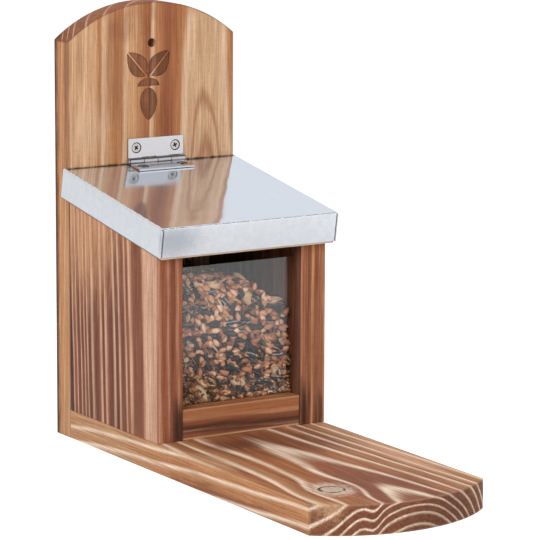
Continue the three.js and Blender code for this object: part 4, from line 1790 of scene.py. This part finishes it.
@dataclass
class Feed:
    """The heap of seeds behind the window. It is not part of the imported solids.

    Args:
        heap: How high it reaches at several places across.
        front: The pane's rear face.
        rail_rear: The rail's rear face.
        rail_top: The rail's top.
        floor: The base board's top.
        reach: Half the width between the side panels.
        cover: How deep the seeds lie over the heap's core.
        fall: How much lower the heap gets, for each unit towards the rear.
    """

    heap: tuple[Pair, ...] = (
        (-42.0, 117.5), (-14.0, 115.0), (3.0, 112.0), (14.0, 107.5), (26.0, 98.0), (42.0, 87.0),
    )
    front: float = -99.9
    rail_rear: float = -91.2
    rail_top: float = 37.1
    floor: float = 18.1
    reach: float = 41.8
    cover: float = 3.2
    fall: float = 0.05

    PANE_LAYERS = 3  # layers of seeds that stand against the pane
    TOP_LAYERS = 2  # layers of seeds that lie on the heap
    KINDS = (
        SeedKind("feed_sunflower_seeds", (7.4, 2.8, 1.7), (10, 8), 0.6, 8.6, 0.5, SeedCoat(
            "sunflower_husk", ((6, 5, 7), (14, 13, 15), (26, 24, 27), (52, 48, 51)), 0.42,
            (182, 176, 172))),
        SeedKind("feed_pumpkin_seeds", (7.8, 4.2, 1.8), (12, 8), 0.8, 27.0, 0.3, SeedCoat(
            "pumpkin_husk", ((206, 170, 126), (226, 200, 164)), 0.5)),
        SeedKind("feed_wheat_grains", (3.3, 1.8, 1.5), (9, 7), 0.78, 4.7, 0.64, SeedCoat(
            "wheat_skin", ((132, 76, 50), (186, 120, 84), (216, 154, 114), (242, 200, 164)), 0.42)),
        SeedKind("feed_small_seeds", (1.55, 1.05, 0.9), (7, 5), 0.65, 2.5, 0.85, SeedCoat(
            "millet_skin", ((62, 42, 30), (110, 72, 46), (164, 112, 68), (220, 174, 122)), 0.35),
            64.0),
        SeedKind("feed_husk_slivers", (4.2, 0.8, 0.4), (6, 5), 0.6, 8.0, 0.22, SeedCoat(
            "split_husk", ((120, 84, 62), (180, 138, 106), (216, 184, 152)), 0.6)),
    )

    def top(self, x: np.ndarray, y: np.ndarray) -> np.ndarray:
        """Returns how high the heap reaches, a little lower towards the rear."""
        return np.interp(x, *zip(*self.heap)) - self.fall * (y - self.front)

    def bed(self) -> Workpiece:
        """Returns the heap's core, which shows only between the seeds."""
        peak = self.heap[0][1]
        core = Workpiece.block("feed_bed", (-self.reach, self.rail_rear, self.floor),
                               (self.reach, -0.3, peak))
        ahead = Workpiece.block("ahead", (-self.reach, self.front + self.cover, self.rail_top),
                                (self.reach, self.rail_rear + 1, peak))
        core.combine(ahead, "UNION")
        for (x0, z0), (x1, z1) in zip(self.heap, self.heap[1:]):
            core.cut_off((x0, self.front, z0 - self.cover),
                         (z0 - z1, self.fall * (x1 - x0), x1 - x0))
        return core

    def grid(self, first: np.ndarray, second: np.ndarray, step: float,
             draw: np.random.Generator) -> list[np.ndarray]:
        """Returns the places of a grid's points on both axes, each moved by up to half a step."""
        return [axis.ravel() + draw.uniform(-0.5, 0.5, axis.size) * step
                for axis in np.meshgrid(first, second)]

    def spots(self, kind: SeedKind, draw: np.random.Generator) -> tuple[np.ndarray, np.ndarray]:
        """Scatters one kind behind the pane and over the top of the heap.

        Args:
            kind: The kind of seed.
            draw: The source of random numbers.

        Returns:
            The seeds' middles, and which of them lie against the pane.
        """
        found, upright, step = [], [], kind.spacing
        across = np.arange(-self.reach, self.reach, step)
        for layer in range(self.PANE_LAYERS):
            x, z = self.grid(across, np.arange(self.rail_top, self.heap[0][1], step * 0.9), step,
                             draw)
            y = self.front + kind.size[2] + draw.uniform(0.0, 1.3, x.size) + 1.3 * layer
            keep = (draw.random(x.size) < kind.share) & (z < self.top(x, y)) & (z < kind.level)
            # The small seeds have sifted down in place of the large ones, mostly on the left
            if kind.level < math.inf:
                keep &= draw.random(x.size) < np.clip((kind.level - z) / 22.0, 0.0, 1.0) ** 1.5
            else:
                sifted = np.clip((58.0 - z) / 16.0, 0.0, 0.75) * np.clip(-x / 20.0, 0.3, 1.0)
                keep &= draw.random(x.size) > sifted
            found.append(np.stack((x, y, z), 1)[keep])
            upright.append(np.ones(keep.sum(), bool))
        for layer in range(self.TOP_LAYERS if kind.level == math.inf else 0):
            x, y = self.grid(across, np.arange(self.front + 2, -1.0, step), step, draw)
            z = self.top(x, y) - 1.4 * layer + draw.uniform(-0.8, 0.8, x.size)
            keep = draw.random(x.size) < kind.share
            found.append(np.stack((x, y, z), 1)[keep])
            upright.append(np.zeros(keep.sum(), bool))
        return np.concatenate(found), np.concatenate(upright)

    def turns(self, upright: np.ndarray, draw: np.random.Generator) -> np.ndarray:
        """Returns a turn for each seed: flat against the pane, mostly sliding, or on the heap."""
        made = []
        for stands in upright:
            lie = draw.uniform(0.0, 2 * math.pi)
            if stands:
                lie = draw.normal(-0.4, 0.6) + math.pi * draw.integers(2)
            tilt, nod = draw.normal(0.0, 0.4), draw.normal(0.0, 0.3)
            face = math.pi / 2 if stands else 0.0
            made.append(Matrix.Rotation(face, 3, "X") @ Matrix.Rotation(tilt, 3, "X")
                        @ Matrix.Rotation(nod, 3, "Y") @ Matrix.Rotation(lie, 3, "Z"))
        return np.array(made)

    def scatter(self, kind: SeedKind, draw: np.random.Generator) -> Workpiece:
        """Returns all the seeds of one kind as one piece, in the row frame."""
        model = kind.model()
        shape = np.array([v.co[:] for v in model.obj.data.vertices])
        faces = [tuple(polygon.vertices) for polygon in model.obj.data.polygons]
        model.remove()
        spots, upright = self.spots(kind, draw)
        count, size = len(spots), len(shape)
        grown = draw.uniform(0.82, 1.12, (count, 1, 1))
        points = (shape * kind.size)[None] * grown @ self.turns(upright, draw).transpose(0, 2, 1)
        points += spots[:, None]
        low, high = points.min(1), points.max(1)
        move = np.zeros_like(spots)
        move[:, 0] = np.maximum(0, -self.reach - low[:, 0]) - np.maximum(0, high[:, 0] - self.reach)
        move[:, 1] = np.maximum(0, self.front - low[:, 1]) - np.maximum(0, high[:, 1] + 0.4)
        over_rail = low[:, 1] + move[:, 1] < self.rail_rear
        move[:, 2] = np.maximum(0, np.where(over_rail, self.rail_top, self.floor) - low[:, 2])
        points += move[:, None]
        mesh = bpy.data.meshes.new(kind.name)
        mesh.from_pydata(
            (points.reshape(-1, 3) + (0.0, BACK_FACE, 0.0)) * MM, [],
            [tuple(i * size + v for v in face) for i in range(count) for face in faces])
        tones = mesh.attributes.new("seed_tone", "FLOAT", "POINT")
        tones.data.foreach_set("value", np.repeat(draw.random(count), size))
        places = mesh.attributes.new("seed_place", "FLOAT_VECTOR", "POINT")
        places.data.foreach_set("vector", np.tile(shape, (count, 1)).ravel())
        put_down()
        piece = bpy.data.objects.new(kind.name, mesh)
        bpy.context.collection.objects.link(piece)
        bpy.context.view_layer.objects.active = piece
        return Workpiece(kind.name)

    def build(self) -> None:
        """Builds and dresses the feed."""
        draw = np.random.default_rng(SEED)
        self.bed().place(IN_ROW).finish(seed_dust(), Body.BOX)
        for kind in self.KINDS:
            self.scatter(kind, draw).finish(kind.coat.material(), Body.BOX, smooth=80.0)


@dataclass
class Studio:
    """The pale floor, the soft light and the camera at the photograph's viewpoint.

    Args:
        azimuth: The camera's azimuth in degrees, negative towards the left.
        elevation: Its elevation.
        roll: Its roll.
        offset: The feeder's zero in the camera's own axes: right, up and ahead.
        lens: Focal length for the sensor.
        sensor: Width of the sensor.
        ambient: Strength of the white surroundings.
        near_floor: Brightness in gloss of a painted shadow on the floor near the feeder, which the
            pane mirrors.
        near_middle: Middle of that painted shadow.
        near_reach: Distances from there over which the painted shadow passes into white.
        lamps: Place, size in metres, and power of each soft lamp.
        target: What the lamps look at, in metres.
    """

    azimuth: float = -31.94
    elevation: float = 10.23
    roll: float = 0.235
    offset: Triple = (-75.33, -100.87, 2077.3)
    lens: float = 215.47
    sensor: float = 36.0
    ambient: float = 0.336
    near_floor: float = 0.44
    near_middle: Triple = (150.0, -190.0, 0.0)
    near_reach: Pair = (130.0, 290.0)
    lamps: tuple[tuple[Triple, float, float], ...] = (
        ((-1.9, -1.3, 1.3), 1.4, 43.0),
        ((1.2, -1.7, 0.8), 1.2, 14.0),
        ((0.1, 0.3, 2.0), 1.4, 12.0),
    )
    target: Triple = (0.0, 0.0, 0.1)

    def floor(self) -> None:
        """Lays the floor, a hair under the feeder."""
        plane = Workpiece.add("studio_floor", "plane", size=6.0, location=(0.0, 0.0, -0.0001))
        skin = Skin("studio_floor")
        g = skin.g
        place = g.millimetres()
        pale = g.node("BsdfDiffuse", {"Color": (0.45, 0.45, 0.45)})
        white = g.node("AddShader", (g.node("Emission", {"Strength": 0.85}), pale))
        # Painted shadow: the floor is darker near the feeder, seen in gloss only.
        near = g.node("Emission", {"Strength": self.near_floor})
        away = g.vector("LENGTH", place - self.near_middle)
        dim = g.span(away, *self.near_reach, 1.0, 0.0) * g.ray("Glossy")
        g.show(g.blend(self.seen(g), skin.shader, g.blend(dim, white, near)))
        mottle = g.span(g.noise(place, 0.01), 0.3, 0.7, 0.79, 0.81)
        plane.obj.data.materials.append(skin.wear(Base_Color=mottle, Roughness=0.9))
        plane.obj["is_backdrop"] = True

    def seen(self, g: Graph) -> Signal:
        """Returns 1 for rays that show the surroundings to the camera, straight or in gloss."""
        return g.most(g.most(g.ray("Camera"), g.ray("Glossy")), g.ray("Transmission"))

    def world(self) -> None:
        """Makes the white surroundings."""
        world = bpy.data.worlds.new("studio")
        g = Graph.of(world)
        _, y, z = g.axes(g.node("TexCoord", out="Generated"))
        front = g.span(y, -0.1, 0.15, 1.0, 0.0)
        high = g.span(abs(z - 0.8), 0.1, 0.17, 1.0, 0.0)
        full = g.span(front * high * g.ray("Glossy"), 0.0, 1.0,
                      g.span(front, 0.0, 1.0, 0.8, 1.0), 0.08)
        lit = g.span(self.seen(g), 0.0, 1.0, self.ambient, full)
        clear = g.most(g.ray("Camera"), g.ray("Transmission"))
        g.show(g.node("Background", {"Color": (1.0, 1.0, 1.0), "Strength": g.most(lit, clear)}),
               "OutputWorld")
        bpy.context.scene.world = world

    def light(self) -> None:
        """Hangs the soft lamps, each turned to the feeder's middle."""
        for i, (at, size, power) in enumerate(self.lamps):
            data = bpy.data.lights.new(f"soft_lamp_{i}", "AREA")
            data.shape, data.size, data.energy = "DISK", size, power
            lamp = bpy.data.objects.new(data.name, data)
            way = Vector(self.target) - Vector(at)
            lamp.location, lamp.rotation_euler = at, way.to_track_quat("-Z", "Y").to_euler()
            lamp.visible_glossy = lamp.visible_transmission = False
            bpy.context.collection.objects.link(lamp)

    def camera(self) -> None:
        """Sets up the camera."""
        az, el, roll = (math.radians(a) for a in (self.azimuth, self.elevation, self.roll))
        back = Vector((math.sin(az) * math.cos(el), -math.cos(az) * math.cos(el), math.sin(el)))
        level = (-back).cross(Vector((0.0, 0.0, 1.0))).normalized()
        steep = level.cross(-back)
        right = math.cos(roll) * level + math.sin(roll) * steep
        up = math.cos(roll) * steep - math.sin(roll) * level
        x, y, ahead = self.offset
        data = bpy.data.cameras.new("camera")
        data.lens, data.sensor_width = self.lens, self.sensor
        data.clip_start, data.clip_end = 0.05, 50.0
        camera = bpy.data.objects.new("camera", data)
        axes = Matrix((right, up, back)).transposed().to_4x4()
        camera.matrix_world = Matrix.Translation(row(*-(x * right + y * up - ahead * back))) @ axes
        bpy.context.collection.objects.link(camera)
        bpy.context.scene.camera = camera

    def build(self) -> None:
        """Sets up the whole studio."""
        self.floor()
        self.world()
        self.light()
        self.camera()
        bpy.context.scene.view_settings.view_transform = "Standard"


def write_sizes() -> None:
    """Gathers the CAD box and the visual model's box."""
    boxes = {"cad": CAD_BOX, "visual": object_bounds()}
    plain = {name: [list(corner) for corner in box] for name, box in boxes.items()}


def main() -> None:
    """Builds the feeder and the studio."""
    logging.basicConfig(level=logging.INFO, format="%(name)s: %(message)s")
    for part in (Carcass(), Window(), Fixings(), Lid(), Hinge(), Feed(), Studio()):
        log.info("building %s", type(part).__name__)
        part.build()
    write_sizes()


if __name__ == "__main__":
    main()
